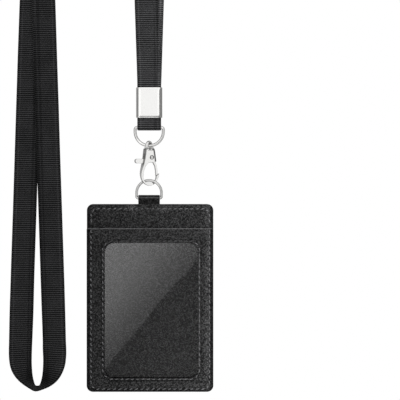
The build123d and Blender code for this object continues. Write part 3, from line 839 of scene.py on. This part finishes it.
# ------------------------------------------------------------------ crimp
def build_crimp():
    """Folded sheet sleeve: bevelled face in front, open seam at the back."""
    half_w, half_d, sheet = 7.94, 2.1, 0.6
    seam_gap, radius = 0.2, 2.0         # half the seam's width; side bends
    bend_x, bend_y = half_w - radius, half_d - radius
    back_run = bend_x - seam_gap

    outer = [(-seam_gap - back_run * k / 10, half_d) for k in range(10)]
    outer += arc(-bend_x, bend_y, radius, 90, 180, 12)
    outer += arc(-bend_x, -bend_y, radius, 180, 262, 12)[1:]
    outer += [(-bend_x + 0.1 + (2 * bend_x - 0.2) * k / 16, -half_d) for k in range(17)]
    outer += arc(bend_x, -bend_y, radius, 278, 360, 12)
    outer += arc(bend_x, bend_y, radius, 0, 90, 12)[1:]
    outer += [(bend_x - back_run * k / 10, half_d) for k in range(1, 11)]
    outer = np.array(outer)
    inner = np.stack([np.clip(outer[:, 0], -half_w + sheet, half_w - sheet),
                      np.clip(outer[:, 1], -half_d + sheet, half_d - sheet)], 1)

    height = CRIMP_TOP - CRIMP_BOT
    near_edge = [0, 0.05, 0.25, 0.55, 0.85, 1.1, 1.35, 2.0]
    levels = near_edge + list(np.linspace(2.6, height - 2.6, 9))
    levels += [height - z for z in near_edge[::-1]]
    verts = []
    for z in levels:
        from_edge = min(z, height - z)
        bevel = (0.15 if z < height / 2 else 0.26) * (1 - smooth(from_edge / 1.25))
        lip = 0.10 * (1 - min(1, from_edge / 0.25)) ** 2
        shape = outer.copy()
        shape[shape[:, 1] < -1.6, 1] += bevel
        shape[:, 0] *= 1 - lip / half_w
        shape[shape[:, 1] > 1.9, 1] -= lip
        # faint hollow of the struck face
        face = (np.abs(shape[:, 0]) < 6.5) & (shape[:, 1] < -1.9)
        fade = 1 - ((z - height / 2) / (height / 2)) ** 4
        shape[face, 1] += 0.05 * (1 - (shape[face, 0] / 6.6) ** 2) * fade
        verts += [(CRIMP_X + x, y, CRIMP_BOT + z) for x, y in shape]
    inside = len(verts)
    for z in levels:
        verts += [(CRIMP_X + x, y, CRIMP_BOT + z) for x, y in inner]

    faces = []
    count, rows = len(outer), len(levels)
    for i in range(rows - 1):
        low, high = i * count, (i + 1) * count
        in_low, in_high = inside + low, inside + high
        for k in range(count - 1):
            faces.append((low + k, low + k + 1, high + k + 1, high + k))
            faces.append((in_low + k + 1, in_low + k, in_high + k, in_high + k + 1))
        end = count - 1
        faces.append((low, high, in_high, in_low))
        faces.append((low + end, in_low + end, in_high + end, high + end))
    top = (rows - 1) * count
    for k in range(count - 1):
        faces.append((k, inside + k, inside + k + 1, k + 1))
        faces.append((top + k, top + k + 1, inside + top + k + 1, inside + top + k))
    ob = make("crimp_sheet", verts, faces, SHEET, "strap", "strap_crimp")
    mark_creases(ob, 28)


build_crimp()


# ------------------------------------------------------------------ D-rings
def d_path(mid_x, bar_z, arc_z, radius, corner, up):
    """Round side, then the straight bar with its corners; up is +1 with the bar on top."""
    quarter = [math.pi / 2 * k / 8 for k in range(9)]

    def corner_point(side, a):
        x = mid_x + side * (radius - corner * (1 - math.cos(a)))
        return (x, 0, bar_z - up * corner * (1 - math.sin(a)))

    half_turn = [math.pi * k / 64 for k in range(65)]
    points = [(mid_x + radius * math.cos(a), 0, arc_z - up * radius * math.sin(a))
              for a in half_turn]
    points += [corner_point(-1, a) for a in quarter]
    half_bar = radius - corner
    points += [(mid_x - half_bar + 2 * half_bar * k / 12, 0, bar_z) for k in range(1, 12)]
    points += [corner_point(1, a) for a in quarter[::-1]]
    return points


def build_ring(name, body, node, material, wire, **shape):
    verts, faces = tube(d_path(**shape), wire, sides=28, closed=True, hint=(0, 1, 0))
    make(name, verts, faces, material, body, node)


build_ring("upper_ring_wire", "upper_ring", "lanyard_d_ring", WIRE, wire=0.9,
           mid_x=CRIMP_X, bar_z=UPPER_BAR_Z, arc_z=-124.6, radius=8.55, corner=1.3, up=1)
build_ring("lower_ring_wire", "lower_ring", "holder_d_ring", WIRE_LOW, wire=0.78,
           mid_x=CLASP_X, bar_z=LOWER_BAR_Z, arc_z=-161.7, radius=7.52, corner=0.95, up=-1)


# ------------------------------------------------------------------ clasp
def cast_copy(node, name, body, voxel, passes, material, clearance=0.0):
    """A softened copy of the exact solid, with its edges rounded as in a zinc casting."""
    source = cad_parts[node]
    mesh = source.data.copy()
    ob = link_object(name, mesh)
    bpy.context.view_layer.update()
    mesh.transform(source.matrix_world)
    remesh = ob.modifiers.new("voxel", "REMESH")
    remesh.mode = "VOXEL"
    remesh.voxel_size = voxel * MM
    remesh.use_smooth_shade = True
    soften = ob.modifiers.new("soft", "SMOOTH")
    soften.factor = 0.5
    soften.iterations = passes
    depsgraph = bpy.context.evaluated_depsgraph_get()
    done = bpy.data.meshes.new_from_object(ob.evaluated_get(depsgraph))
    ob.modifiers.clear()
    ob.data = done
    if clearance:
        # running clearance, taken off along the surface normals
        points = np.array([v.co for v in done.vertices])
        normals = np.array([v.normal for v in done.vertices])
        moved = points - normals * clearance * MM
        done.vertices.foreach_set("co", moved.reshape(-1))
    done.materials.clear()
    done.materials.append(material)
    smooth_shade(done)
    settle(ob, body, node)


VOXEL = 0.09
cast_copy("clasp_body", "clasp_casting", "clasp", VOXEL, 7, CAST)
cast_copy("clasp_gate", "gate_lever_stamping", "gate", VOXEL * 0.8, 5, CAST)
cast_copy("swivel_eye", "swivel_eye_casting", "swivel", VOXEL, 6, EYE, clearance=0.05)

# the clasp's own directions: across its flat face and through it
CLASP_U = np.array((CLASP_COS, CLASP_SIN, 0.0))
CLASP_N = np.array((-CLASP_SIN, CLASP_COS, 0.0))
UP = np.array((0, 0, 1))


def build_rivet():
    # half of the turned profile, from the domed end. Columns: radius, place on the axis
    half = [(0.0, -2.52), (0.35, -2.50), (0.75, -2.44), (1.1, -2.36), (1.32, -2.27),
            (1.4, -2.2), (1.38, -2.14), (0.9, -2.13)]
    profile = half + [(radius, -axial) for radius, axial in half[::-1]]
    centre = np.array((CLASP_X, 0, PIVOT_Z)) + CLASP_U * PIVOT_U
    sides = 36
    verts = []
    for radius, axial in profile:
        for k in range(sides):
            a = 2 * math.pi * k / sides
            verts.append(centre + CLASP_N * axial + CLASP_U * radius * math.cos(a)
                         + UP * radius * math.sin(a))
    # the two end rings are points, so the loft's caps are left off; its faces are turned over
    faces = [(a, d, c, b) for a, b, c, d in loft(len(profile), sides)[:-2]]
    ob = make("pivot_rivet_domed", verts, faces, RIVET,
              "clasp", "gate_pivot_rivet")
    # painted shade: the head's rim bands take the dark nickel
    ob.data.materials.append(RIVET_RIM)
    for i, face in enumerate(ob.data.polygons):
        band = i // sides
        radii = (profile[band][0], profile[band + 1][0])
        if min(radii) >= 0.9 and max(radii) > 1.0:
            face.material_index = 1
    mark_creases(ob, 50)


build_rivet()


def build_spring():
    length, pitch, coil_r, wire = 2.2, 0.62, 0.42, 0.14
    foot = np.array((CLASP_X, 0, 0)) + CLASP_U * -1.95
    t = np.linspace(0, 1, 150)[:, None]
    a = 2 * math.pi * (length / pitch) * t
    path = foot + coil_r * (np.cos(a) * CLASP_U + np.sin(a) * CLASP_N)
    path = path + (-140.68 + length * t) * UP
    verts, faces = tube(path, wire, sides=10, closed=False, hint=(0, 0, 1))
    return make("gate_spring_coil", verts, faces, STEEL, "clasp", "gate_spring")


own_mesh(build_spring())


# ------------------------------------------------------------------ leather sheet helpers
def contour(mid_x, width, top, bottom, top_radius, bottom_radius, inset, nx=80, nz=110):
    """Rounded rectangle in (x, z) with a fixed point count, from the lower left along the
    bottom to the right and round."""
    left, right = mid_x - width / 2 + inset, mid_x + width / 2 - inset
    top, bottom = top - inset, bottom + inset
    rt, rb = max(top_radius - inset, 0.02), max(bottom_radius - inset, 0.02)

    def run(x0, z0, x1, z1, count):
        return [(x0 + (x1 - x0) * k / count, z0 + (z1 - z0) * k / count) for k in range(count)]

    def corner(x, z, radius, start):
        return arc(x, z, radius, start, start + 90, 12)[:-1]

    return np.array(
        run(left + rb, bottom, right - rb, bottom, nx)
        + corner(right - rb, bottom + rb, rb, -90)
        + run(right, bottom + rb, right, top - rt, nz)
        + corner(right - rt, top - rt, rt, 0)
        + run(right - rt, top, left + rt, top, nx)
        + corner(left + rt, top - rt, rt, 90)
        + run(left, top - rt, left, bottom + rb, nz)
        + corner(left + rb, bottom + rb, rb, 180))


# distances of the contours from the cut edge; FAR stands for rings well inside
FAR = 99.0
INSETS = [0.0, 0.04, 0.12, 0.25, 0.42, 0.65, 0.95, 1.3, 1.6, 1.85, 2.1, 2.3, 2.5, 2.75, 3.0,
          3.4, 3.9, 4.6, 5.5, 6.8]
SHRINKS = (0.9, 0.8, 0.7, 0.6, 0.5, 0.4, 0.3, 0.2, 0.1)
RING_INSETS = INSETS + [FAR] * len(SHRINKS)


def fill_in(rings):
    """Adds rings that shrink towards the middle of the last one."""
    last = rings[-1]
    middle = last.mean(0)
    return rings + [middle + (last - middle) * k for k in SHRINKS]


def holder_rings(top, top_radius, nx=80):
    return fill_in([contour(HOLD_X, HOLD_W, top, HOLD_BOT, top_radius, HOLD_CR, inset, nx=nx)
                    for inset in INSETS])


def build_sheet(name, rings, front, back, material, node, hole=False):
    """Solid sheet. rings run from the outside in; front and back give Y from (points, ring
    index). It is closed round the rim, and round the hole if there is one."""
    count, rows = len(rings[0]), len(rings)
    verts = []
    for surface in (front, back):
        for i, points in enumerate(rings):
            verts += [(x, y, z) for (x, z), y in zip(points, surface(points, i))]
    verts = np.array(verts)
    rear = rows * count
    here = np.arange(count)
    after = (here + 1) % count

    def quads(*corners):
        return list(np.stack(corners, 1))

    faces = []
    for i in range(rows - 1):
        a, b = i * count, (i + 1) * count
        faces += quads(a + here, a + after, b + after, b + here)
        a, b = a + rear, b + rear
        faces += quads(a + after, a + here, b + here, b + after)
    faces += quads(here, rear + here, rear + after, after)
    last = rear - count
    if hole:
        faces += quads(last + after, rear + last + after, rear + last + here, last + here)
    else:
        middles = [verts[last:rear].mean(0), verts[rear + last:].mean(0)]
        verts = np.concatenate([verts, middles])
        front_mid, back_mid = len(verts) - 2, len(verts) - 1
        faces += [(last + a, last + b, front_mid) for a, b in zip(here, after)]
        faces += [(rear + last + b, rear + last + a, back_mid) for a, b in zip(here, after)]
    ob = make(name, verts, faces, material, "holder", node)
    mark_creases(ob, 55)


def edge_roll(distance, radius):
    """How far a rounded edge falls back at a distance from the cut."""
    q = np.clip(distance / radius, 0, 1)
    return radius * (1 - np.sqrt(np.clip(1 - (1 - q) ** 2, 0, 1)))


def undulation(points, seed):
    """Slow waves of a soft sheet, within -1 and 1."""
    x, z = points[:, 0], points[:, 1]
    return (np.sin(x * 0.11 + seed) * np.cos(z * 0.083 + seed * 1.7)
            + 0.5 * np.sin(x * 0.23 - z * 0.17 + seed * 2.3)
            + 0.3 * np.sin(z * 0.39 + seed)) / 1.8


def inwards(points, mid_x, width, bottom, top=None):
    """Distance in from the sides and bottom of a rectangle, and from its top if given."""
    x, z = points[:, 0], points[:, 1]
    distance = np.minimum(x - (mid_x - width / 2), (mid_x + width / 2) - x)
    distance = np.minimum(distance, z - bottom)
    return distance if top is None else np.minimum(distance, top - z)


def from_seam(points):
    """Distance in from the edge stitching down the sides and along the bottom."""
    x, z = points[:, 0], points[:, 1]
    return np.minimum(np.minimum(x - SEAM_L, SEAM_R - x), z - SEAM_B)


def groove(distance, depth, width):
    return depth * np.exp(-(distance / width) ** 2)


def tab_bulge(points):
    """The panels stand proud where the tab's legs go in between them."""
    side = 1 - smooth((np.abs(points[:, 0] - CLASP_X) - 5.6) / 4.2)
    down = 1 - smooth((HOLD_TOP - points[:, 1] - 5.0) / 10.0)
    return side * down


def pressed(points):
    """1 round the edge, where the seam pulls the two leathers together; 0 over the board and
    where the tab goes in."""
    distance = inwards(points, HOLD_X, HOLD_W, HOLD_BOT, HOLD_TOP)
    beside = smooth((np.abs(points[:, 0] - CLASP_X) - 7.0) / 1.6)
    near_top = points[:, 1] > HOLD_TOP - 14.5
    return (1 - smooth((distance - 2.1) / 1.1)) * np.where(near_top, beside, 1.0)


def full_panel_fall(points, inset):
    """How far a full-height panel falls back at its rolled edge, its seam and its border."""
    z = points[:, 1]
    distance = inwards(points, HOLD_X, HOLD_W, HOLD_BOT, HOLD_TOP)
    line = np.where(z > HOLD_TOP - 5.5, SEAM_T - z, from_seam(points))
    return (edge_roll(inset, 0.42) + groove(line, 0.13, 0.6) * (distance > 0.8)
            + 0.07 * (1 - smooth(distance / 6.0)))


# ------------------------------------------------------------------ leather panels and film
def build_inner_front():
    def front(points, i):
        y = Y_MID_F + full_panel_fall(points, RING_INSETS[i])
        return y - 0.38 * tab_bulge(points) + 0.035 * undulation(points, 1.0)

    def back(points, i):
        y = Y_MID_B + (-0.02 - Y_MID_B) * pressed(points)
        return y - edge_roll(RING_INSETS[i], 0.12)

    build_sheet("inner_front_leather", holder_rings(HOLD_TOP, HOLD_CR), front, back,
                LEATHER, "inner_front_panel")


def build_back():
    def outside(points, i):
        y = Y_BACK_B - full_panel_fall(points, RING_INSETS[i])
        return y + 0.38 * tab_bulge(points) - 0.03 * np.abs(undulation(points, 4.0))

    def inside(points, i):
        y = Y_BACK_F + (0.02 - Y_BACK_F) * pressed(points)
        return y + edge_roll(RING_INSETS[i], 0.12)

    build_sheet("back_leather", holder_rings(HOLD_TOP, HOLD_CR), inside, outside,
                LEATHER, "back_panel")


def build_window_panel():
    # distances of the contours round the window from its cut edge
    hole_steps = [0.0, 0.05, 0.14, 0.28, 0.45, 0.65, 0.85, 1.1, 1.35, 1.6, 1.9, 2.3, 2.8]
    outer = [contour(HOLD_X, HOLD_W, POCKET_Z, HOLD_BOT, 0.5, HOLD_CR, inset)
             for inset in INSETS[:17]]
    hole = [contour(WIN_X, WIN_W, WIN_TOP, WIN_BOT, WIN_CR, WIN_CR, -step)
            for step in hole_steps[::-1]]
    between = [outer[-1] + (hole[0] - outer[-1]) * k for k in (0.2, 0.4, 0.6, 0.8)]
    from_rim = INSETS[:17] + [FAR] * (len(between) + len(hole))
    from_hole = [FAR] * (len(outer) + len(between)) + hole_steps[::-1]

    def front(points, i):
        side = inwards(points, HOLD_X, HOLD_W, HOLD_BOT)
        down = POCKET_Z - points[:, 1]
        # edges drawn down by the seam
        y = Y_WIN_F + 0.42 * (1 - smooth(side / 5.0)) * smooth(down / 3.0)
        y = y + edge_roll(from_rim[i], 0.40) + edge_roll(from_hole[i], 0.40)
        y = y + groove(from_seam(points), 0.16, 0.6) * (down > 1.0)
        y = y + groove(from_hole[i] - 1.1, 0.15, 0.5)
        # creased line along the top edge
        y = y + groove(down - 1.6, 0.10, 0.35) * (side > 1.0)
        return y + 0.02 + 0.03 * undulation(points, 2.2)

    def back(points, i):
        # clear of the film in the middle, down on the inner panel round the rim
        rim = 1 - smooth((inwards(points, HOLD_X, HOLD_W, HOLD_BOT) - 3.3) / 0.9)
        clear_y, rim_y = Y_WIN_B + 0.03, Y_MID_F - 0.02
        return clear_y + (rim_y - clear_y) * rim - edge_roll(from_hole[i], 0.2)

    build_sheet("window_frame_leather", outer + between + hole, front, back,
                LEATHER_MOUTH, "window_panel", hole=True)


def build_rear_slot():
    def notched(points):
        # pushes the top edge down round the thumb notch
        off = points[:, 0] - HOLD_X
        bite = np.sqrt(np.clip(NOTCH_R * NOTCH_R - off * off, 0, None))
        fade = np.clip(1 - (SLOT_TOP - points[:, 1]) / 26.0, 0, 1)
        return np.stack([points[:, 0], points[:, 1] - bite * fade], 1)

    def outside(points, i):
        side = inwards(points, HOLD_X, HOLD_W, HOLD_BOT)
        y = Y_SLOT_B - edge_roll(RING_INSETS[i], 0.40) - 0.10 * (1 - smooth(side / 5.0))
        y = y - groove(from_seam(points), 0.14, 0.6) * (SLOT_TOP - points[:, 1] > 1.0)
        return y - 0.03 * np.abs(undulation(points, 5.0))

    def inside(points, i):
        return np.full(len(points), Y_SLOT_F)

    rings = [notched(points) for points in holder_rings(SLOT_TOP, 0.5, nx=160)]
    build_sheet("rear_slot_leather", rings, inside, outside, LEATHER_SLOT, "rear_slot_panel")


def build_film():
    rings = fill_in([contour(WIN_X, WIN_W + 9.0, WIN_TOP + 5.0, WIN_BOT - 4.0, 1.0, 1.0, inset,
                             nx=40, nz=60)
                     for inset in (0.0, 0.03, 0.1, 1.0, 3.0, 4.5, 6.0, 9.0)])

    def face(offset):
        def surface(points, i):
            inside = inwards(points, WIN_X, WIN_W, WIN_BOT, WIN_TOP)
            waves = undulation(points * (0.7, 0.6), 0.6)
            return Y_WIN_B + offset + 0.010 * waves * smooth(inside / 9.0)
        return surface

    build_sheet("window_film_vinyl", rings, face(0.03), face(0.26), FILM,
                "window_film")


build_inner_front()
build_back()
build_window_panel()
build_rear_slot()
build_film()


# ------------------------------------------------------------------ stiffener board
def build_board():
    """Board between the leathers, cut out at the top for the tab's legs."""
    margin, radius, chamfer = 3.5, 2, 0.06
    left, right = HOLD_X - HOLD_W / 2 + margin, HOLD_X + HOLD_W / 2 - margin
    top, bottom = HOLD_TOP - margin, HOLD_BOT + margin
    cut_l, cut_r = CLASP_X - TAB_W / 2 - 0.4, CLASP_X + TAB_W / 2 + 0.4
    cut_z = TAB_BOTTOM - 0.4
    outline = arc(left + radius, bottom + radius, radius, 180, 270)
    outline += arc(right - radius, bottom + radius, radius, 270, 360)
    outline += arc(right - radius, top - radius, radius, 0, 90)
    outline += [(cut_r, top), (cut_r, cut_z), (cut_l, cut_z), (cut_l, top)]
    outline += arc(left + radius, top - radius, radius, 90, 180)

    bm = bmesh.new()
    verts = []
    for y in (-0.72, -0.66, 0.66, 0.72):
        trim = chamfer if abs(y) > 0.7 else 0.0
        for x, z in outline:
            point = (x + (trim if x < HOLD_X else -trim), y,
                     z + (trim if z < (top + bottom) / 2 else -trim))
            verts.append(bm.verts.new(Vector(point) * MM))
    faces = [bm.faces.new([verts[k] for k in face]) for face in loft(4, len(outline))]
    bmesh.ops.triangulate(bm, faces=faces[-2:])
    bmesh.ops.recalc_face_normals(bm, faces=bm.faces)
    mesh = bpy.data.meshes.new("stiffener_fibre_board")
    bm.to_mesh(mesh)
    bm.free()
    ob = link_object("stiffener_fibre_board", mesh)
    mesh.materials.append(BOARD)
    settle(ob, "holder", "stiffener_board")


build_board()


# ------------------------------------------------------------------ hanger tab
def build_tab():
    """Strip over the lower ring's bar, with both legs down inside the holder."""
    leg_y = TAB_T / 2 + 0.03
    bend_r = TAB_R + TAB_T / 2
    front_leg = [(-leg_y, z) for z in np.linspace(TAB_BOTTOM, -169.0, 12)]
    front_leg += [(-leg_y - (bend_r - leg_y) * smooth((z + 168.5) / 3.1), z)
                  for z in np.linspace(-168.4, -165.5, 14)]
    angles = [math.radians(180 - 6 * k) for k in range(31)]
    bend = [(bend_r * math.cos(a), LOWER_BAR_Z + (bend_r + 0.30) * math.sin(a))
            for a in angles]
    path = np.array(front_leg + bend + [(-y, z) for y, z in front_leg[::-1]])
    along = unit_rows(np.gradient(path, axis=0))
    outward = np.stack([-along[:, 1], along[:, 0]], 1)

    widths = np.array([-6.5, -6.46, -6.36, -6.2, -6.0, -5.2, -4, -2.4, -0.8,
                       0.8, 2.4, 4, 5.2, 6.0, 6.2, 6.36, 6.46, 6.5])
    # half thickness across the strip, with rounded edges
    round_off = np.clip(np.abs(widths) - 6.15, 0, None) / 0.35
    half_t = np.maximum(np.sqrt(np.clip(1 - round_off ** 2, 0, 1)) * TAB_T / 2, 0.02)
    section = list(zip(widths, half_t)) + list(zip(widths[::-1], -half_t[::-1]))
    verts = [(CLASP_X + width, y + out_y * half, z + out_z * half)
             for (y, z), (out_y, out_z) in zip(path, outward) for width, half in section]
    ob = make("hanger_tab_leather", verts, loft(len(path), len(section)), LEATHER_TAB,
              "holder", "hanger_tab")
    mark_creases(ob, 60)


build_tab()


# ------------------------------------------------------------------ stitching
def stitch_places(left, right, top, bottom, cut, pitch=3.3, slant=16.0):
    """(x, z, angle in degrees) of the stitches round a rectangle with its corners cut off."""
    points = [(left + cut, top), (right - cut, top), (right, top - cut), (right, bottom + cut),
              (right - cut, bottom), (left + cut, bottom), (left, bottom + cut),
              (left, top - cut), (left + cut, top)]
    places = []
    for (x0, z0), (x1, z1) in zip(points, points[1:]):
        count = max(1, round(math.hypot(x1 - x0, z1 - z0) / pitch))
        angle = math.degrees(math.atan2(z1 - z0, x1 - x0)) + slant
        for k in range(count):
            t = (k + 0.5) / count
            places.append((x0 + (x1 - x0) * t, z0 + (z1 - z0) * t, angle))
    return places


def split_at(places, level):
    """The stitches above and below a panel's top edge, none of them within 1.6 of it."""
    above = [place for place in places if place[1] >= level + 1.6]
    below = [place for place in places if place[1] <= level - 1.6]
    return above, below


def build_stitches(groups, name, node, radius=0.22, side=-1):
    """Each stitch is a twisted thread that rises out of its hole and dips into the next.
    groups hold (places, y of the leather); side is the Y direction the thread stands out."""
    length, sides, steps = 1.85, 10, 13
    verts, faces, uv = [], [], []
    for places, y in groups:
        for x, z, angle in places:
            a = math.radians(angle + RNG.normal(0, 1.6))
            dir_x, dir_z = math.cos(a), math.sin(a)
            own_length = length * (1 + RNG.normal(0, 0.02))
            phase = RNG.uniform(0, 6)
            faces += loft(steps, sides, base=len(verts))
            for i in range(steps):
                t = i / (steps - 1) * 2 - 1
                height = 0.20 * (1 - abs(t) ** 2.6) - 0.22 * abs(t) ** 6
                taper = radius * (1 - 0.35 * abs(t) ** 5)
                mid_x = x + dir_x * t * own_length / 2
                mid_z = z + dir_z * t * own_length / 2
                for k in range(sides):
                    q = 2 * math.pi * k / sides
                    ply_r = taper * (1 + 0.10 * math.cos(2 * (q + t * 4.2 + phase)))
                    verts.append((mid_x - dir_z * ply_r * math.cos(q),
                                  y + side * (height + ply_r * 0.85 * math.sin(q)),
                                  mid_z + dir_x * ply_r * math.cos(q)))
                    uv.append((k / sides, (t + 1) * own_length / 2))
    make(name, verts, faces, THREAD, "holder", node, uv)


edge_places = stitch_places(SEAM_L, SEAM_R, SEAM_T, SEAM_B, cut=2.4)
above, below = split_at(edge_places, POCKET_Z)
build_stitches([(above, Y_MID_F + 0.04), (below, Y_WIN_F + 0.34)],
               "edge_stitching_front", "edge_stitches_front")
above, below = split_at(edge_places, SLOT_TOP)
build_stitches([(above, Y_BACK_B - 0.08), (below, Y_SLOT_B - 0.14)],
               "edge_stitching_back", "edge_stitches_back", side=1)
window_places = stitch_places(WIN_X - WIN_W / 2 - 1.05, WIN_X + WIN_W / 2 + 0.75,
                              WIN_TOP + 1.1, WIN_BOT - 1.1, cut=3.4)
build_stitches([(window_places, Y_WIN_F + 0.06)],
               "window_stitching_front", "window_stitches_front")
build_stitches([(window_places, Y_WIN_B + 0.30)],
               "window_stitching_inside", "window_stitches_inside", radius=0.11, side=1)


# ------------------------------------------------------------------ studio
def build_world():
    """White to the camera, soft light on matt surfaces; polished metal sees a bright tent with
    dark flags, dimmer overhead."""
    world = bpy.data.worlds.new("studio")
    bpy.context.scene.world = world
    world.use_nodes = True
    graph = Graph(world.node_tree)
    for node in list(graph.nodes):
        graph.nodes.remove(node)
    output = graph.nodes.new("ShaderNodeOutputWorld")
    x, y, z = graph.axes(graph.add("TexCoord", output="Generated"))

    # brightness round the horizon: (degrees, grey), 0 is straight at the camera's side
    horizon = [(-180, 0.85), (-120, 0.70), (-60, 0.62), (-38, 0.40), (-28, 0.13), (28, 0.13),
               (38, 0.55), (50, 0.98), (72, 0.95), (95, 0.50), (140, 0.70), (180, 0.85)]
    turn = graph.math("ARCTAN2", x, y * -1.0) / (2 * math.pi) + 0.5
    round_tone = graph.ramp(turn, [(angle / 360.0 + 0.5, grey) for angle, grey in horizon])
    # brightness from straight down (0) to straight up (1)
    height_tone = graph.ramp(z * 0.5 + 0.5, [
        (0.0, 0.55), (0.30, 0.85), (0.45, 1.0), (0.66, 0.95), (0.80, 0.45), (0.90, 0.30),
        (1.0, 0.7)])
    tent = graph.add("MixRGB", {0: 1.0, 1: round_tone, 2: height_tone}, blend_type="MULTIPLY")
    # steep directions, up or down, are an even grey
    steep = graph.ramp(abs(z), [(0.0, 0.0), (0.34, 0.0), (0.48, 1.0), (1.0, 1.0)])
    tent = graph.add("MixRGB", {0: steep, 1: tent, 2: (0.82, 0.82, 0.82, 1)})

    def background(colour, strength):
        return graph.add("Background", {"Color": colour, "Strength": strength})

    white = (1, 1, 1, 1)
    ray = graph.add("LightPath")
    unseen = graph.mix_shader(ray.out("Is Glossy Ray"), background(white, 0.30),
                              background(tent, 1.0))
    seen = graph.mix_shader(ray.out("Is Camera Ray"), unseen, background(white, 1.0))
    graph.feed(output.inputs["Surface"], seen)


def add_quad(name, corners, material):
    mesh = bpy.data.meshes.new(name)
    mesh.from_pydata([tuple(v * MM for v in corner) for corner in corners], [], [(0, 1, 2, 3)])
    mesh.materials.append(material)
    return link_object(name, mesh)


def build_floor():
    """Pale floor well below, drawn at the backdrop's white."""
    mat = Material("pale_floor")
    mat.principled({"Base Color": (0.9, 0.9, 0.9, 1), "Roughness": 0.9})
    glow = mat.add("Emission", {"Strength": 1.0})
    matt = Signal(mat, mat.bsdf.outputs[0])
    mat.surface(mat.mix_shader(mat.add("LightPath", output="Is Camera Ray"), matt, glow))
    half, z = 6000, -620
    corners = [(-half, -half, z), (half, -half, z), (half, half, z), (-half, half, z)]
    floor = add_quad("floor", corners, mat.made)
    floor.visible_shadow = False
    floor.visible_glossy = False
    floor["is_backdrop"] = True


def build_card():
    """Large card behind the camera; its slanting lower edge draws the glare on the window."""
    edge_x, edge_z = -78.5, -422.3      # a point on the lower edge
    run, rise = 140.1, 170.3            # the edge's slope
    left, right, top, y = -760.0, 620.0, 900.0, -1200

    def lower_z(x):
        return edge_z + (x - edge_x) * (rise / run)

    mat = Material("card_light")
    x, _, z = mat.axes(mat.add("NewGeometry", output="Position"))
    normal_x, normal_z = -rise / math.hypot(rise, run), run / math.hypot(rise, run)
    above_edge = x * normal_x + z * normal_z - (edge_x * normal_x + edge_z * normal_z) * MM
    # brightness over the first 1 / 2.2 m above the edge
    glow = mat.ramp((above_edge * 2.2).clamp(), [
        (0.0, 0.33), (0.033, 0.43), (0.066, 0.56), (0.10, 0.72), (0.1325, 0.86),
        (0.182, 1.03), (0.216, 1.10), (0.32, 1.22), (0.5, 1.14), (1.0, 0.95)])
    mat.nodes.remove(mat.bsdf)
    mat.surface(mat.add("Emission", {"Color": glow, "Strength": 1.0}))
    corners = [(left, y, lower_z(left)), (right, y, lower_z(right)), (right, y, top),
               (left, y, top)]
    card = add_quad("glare_card", corners, mat.made)
    card.visible_camera = False
    card.visible_shadow = False
    card.visible_diffuse = False
    card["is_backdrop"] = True


def add_area(name, place, aim, size, power):
    """Rectangular lamp, kept out of reflections; places and sizes in metres."""
    light = bpy.data.lights.new(name, "AREA")
    light.shape = "RECTANGLE"
    light.size, light.size_y = size
    light.energy = power
    ob = link_object(name, light)
    ob.location = place
    ob.rotation_euler = (Vector(aim) - Vector(place)).to_track_quat("-Z", "Y").to_euler()
    ob.visible_glossy = False
    ob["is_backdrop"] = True


def build_camera():
    data = bpy.data.cameras.new("camera")
    data.sensor_width = 36
    data.lens = 120
    data.clip_start, data.clip_end = 0.02, 30
    camera = link_object("camera", data)
    camera.location = [v * MM for v in CAMERA]
    camera.rotation_euler = (math.radians(90), 0, 0)
    bpy.context.scene.camera = camera
    bpy.context.scene.view_settings.view_transform = "Standard"


build_world()
build_floor()
build_card()
add_area("key", place=(-0.75, -0.65, 0.75), aim=(0.03, 0, -0.16), size=(0.35, 0.35), power=13.0)
add_area("fill", place=(0.95, -0.6, 0.10), aim=(0.03, 0, -0.16), size=(0.4, 0.5), power=7.0)
add_area("top", place=(0.05, -0.20, 0.85), aim=(0.03, 0, -0.1), size=(0.6, 0.3), power=6.0)
build_camera()

{"cad": BOX_CAD, "with_visual": plain_box(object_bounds())}
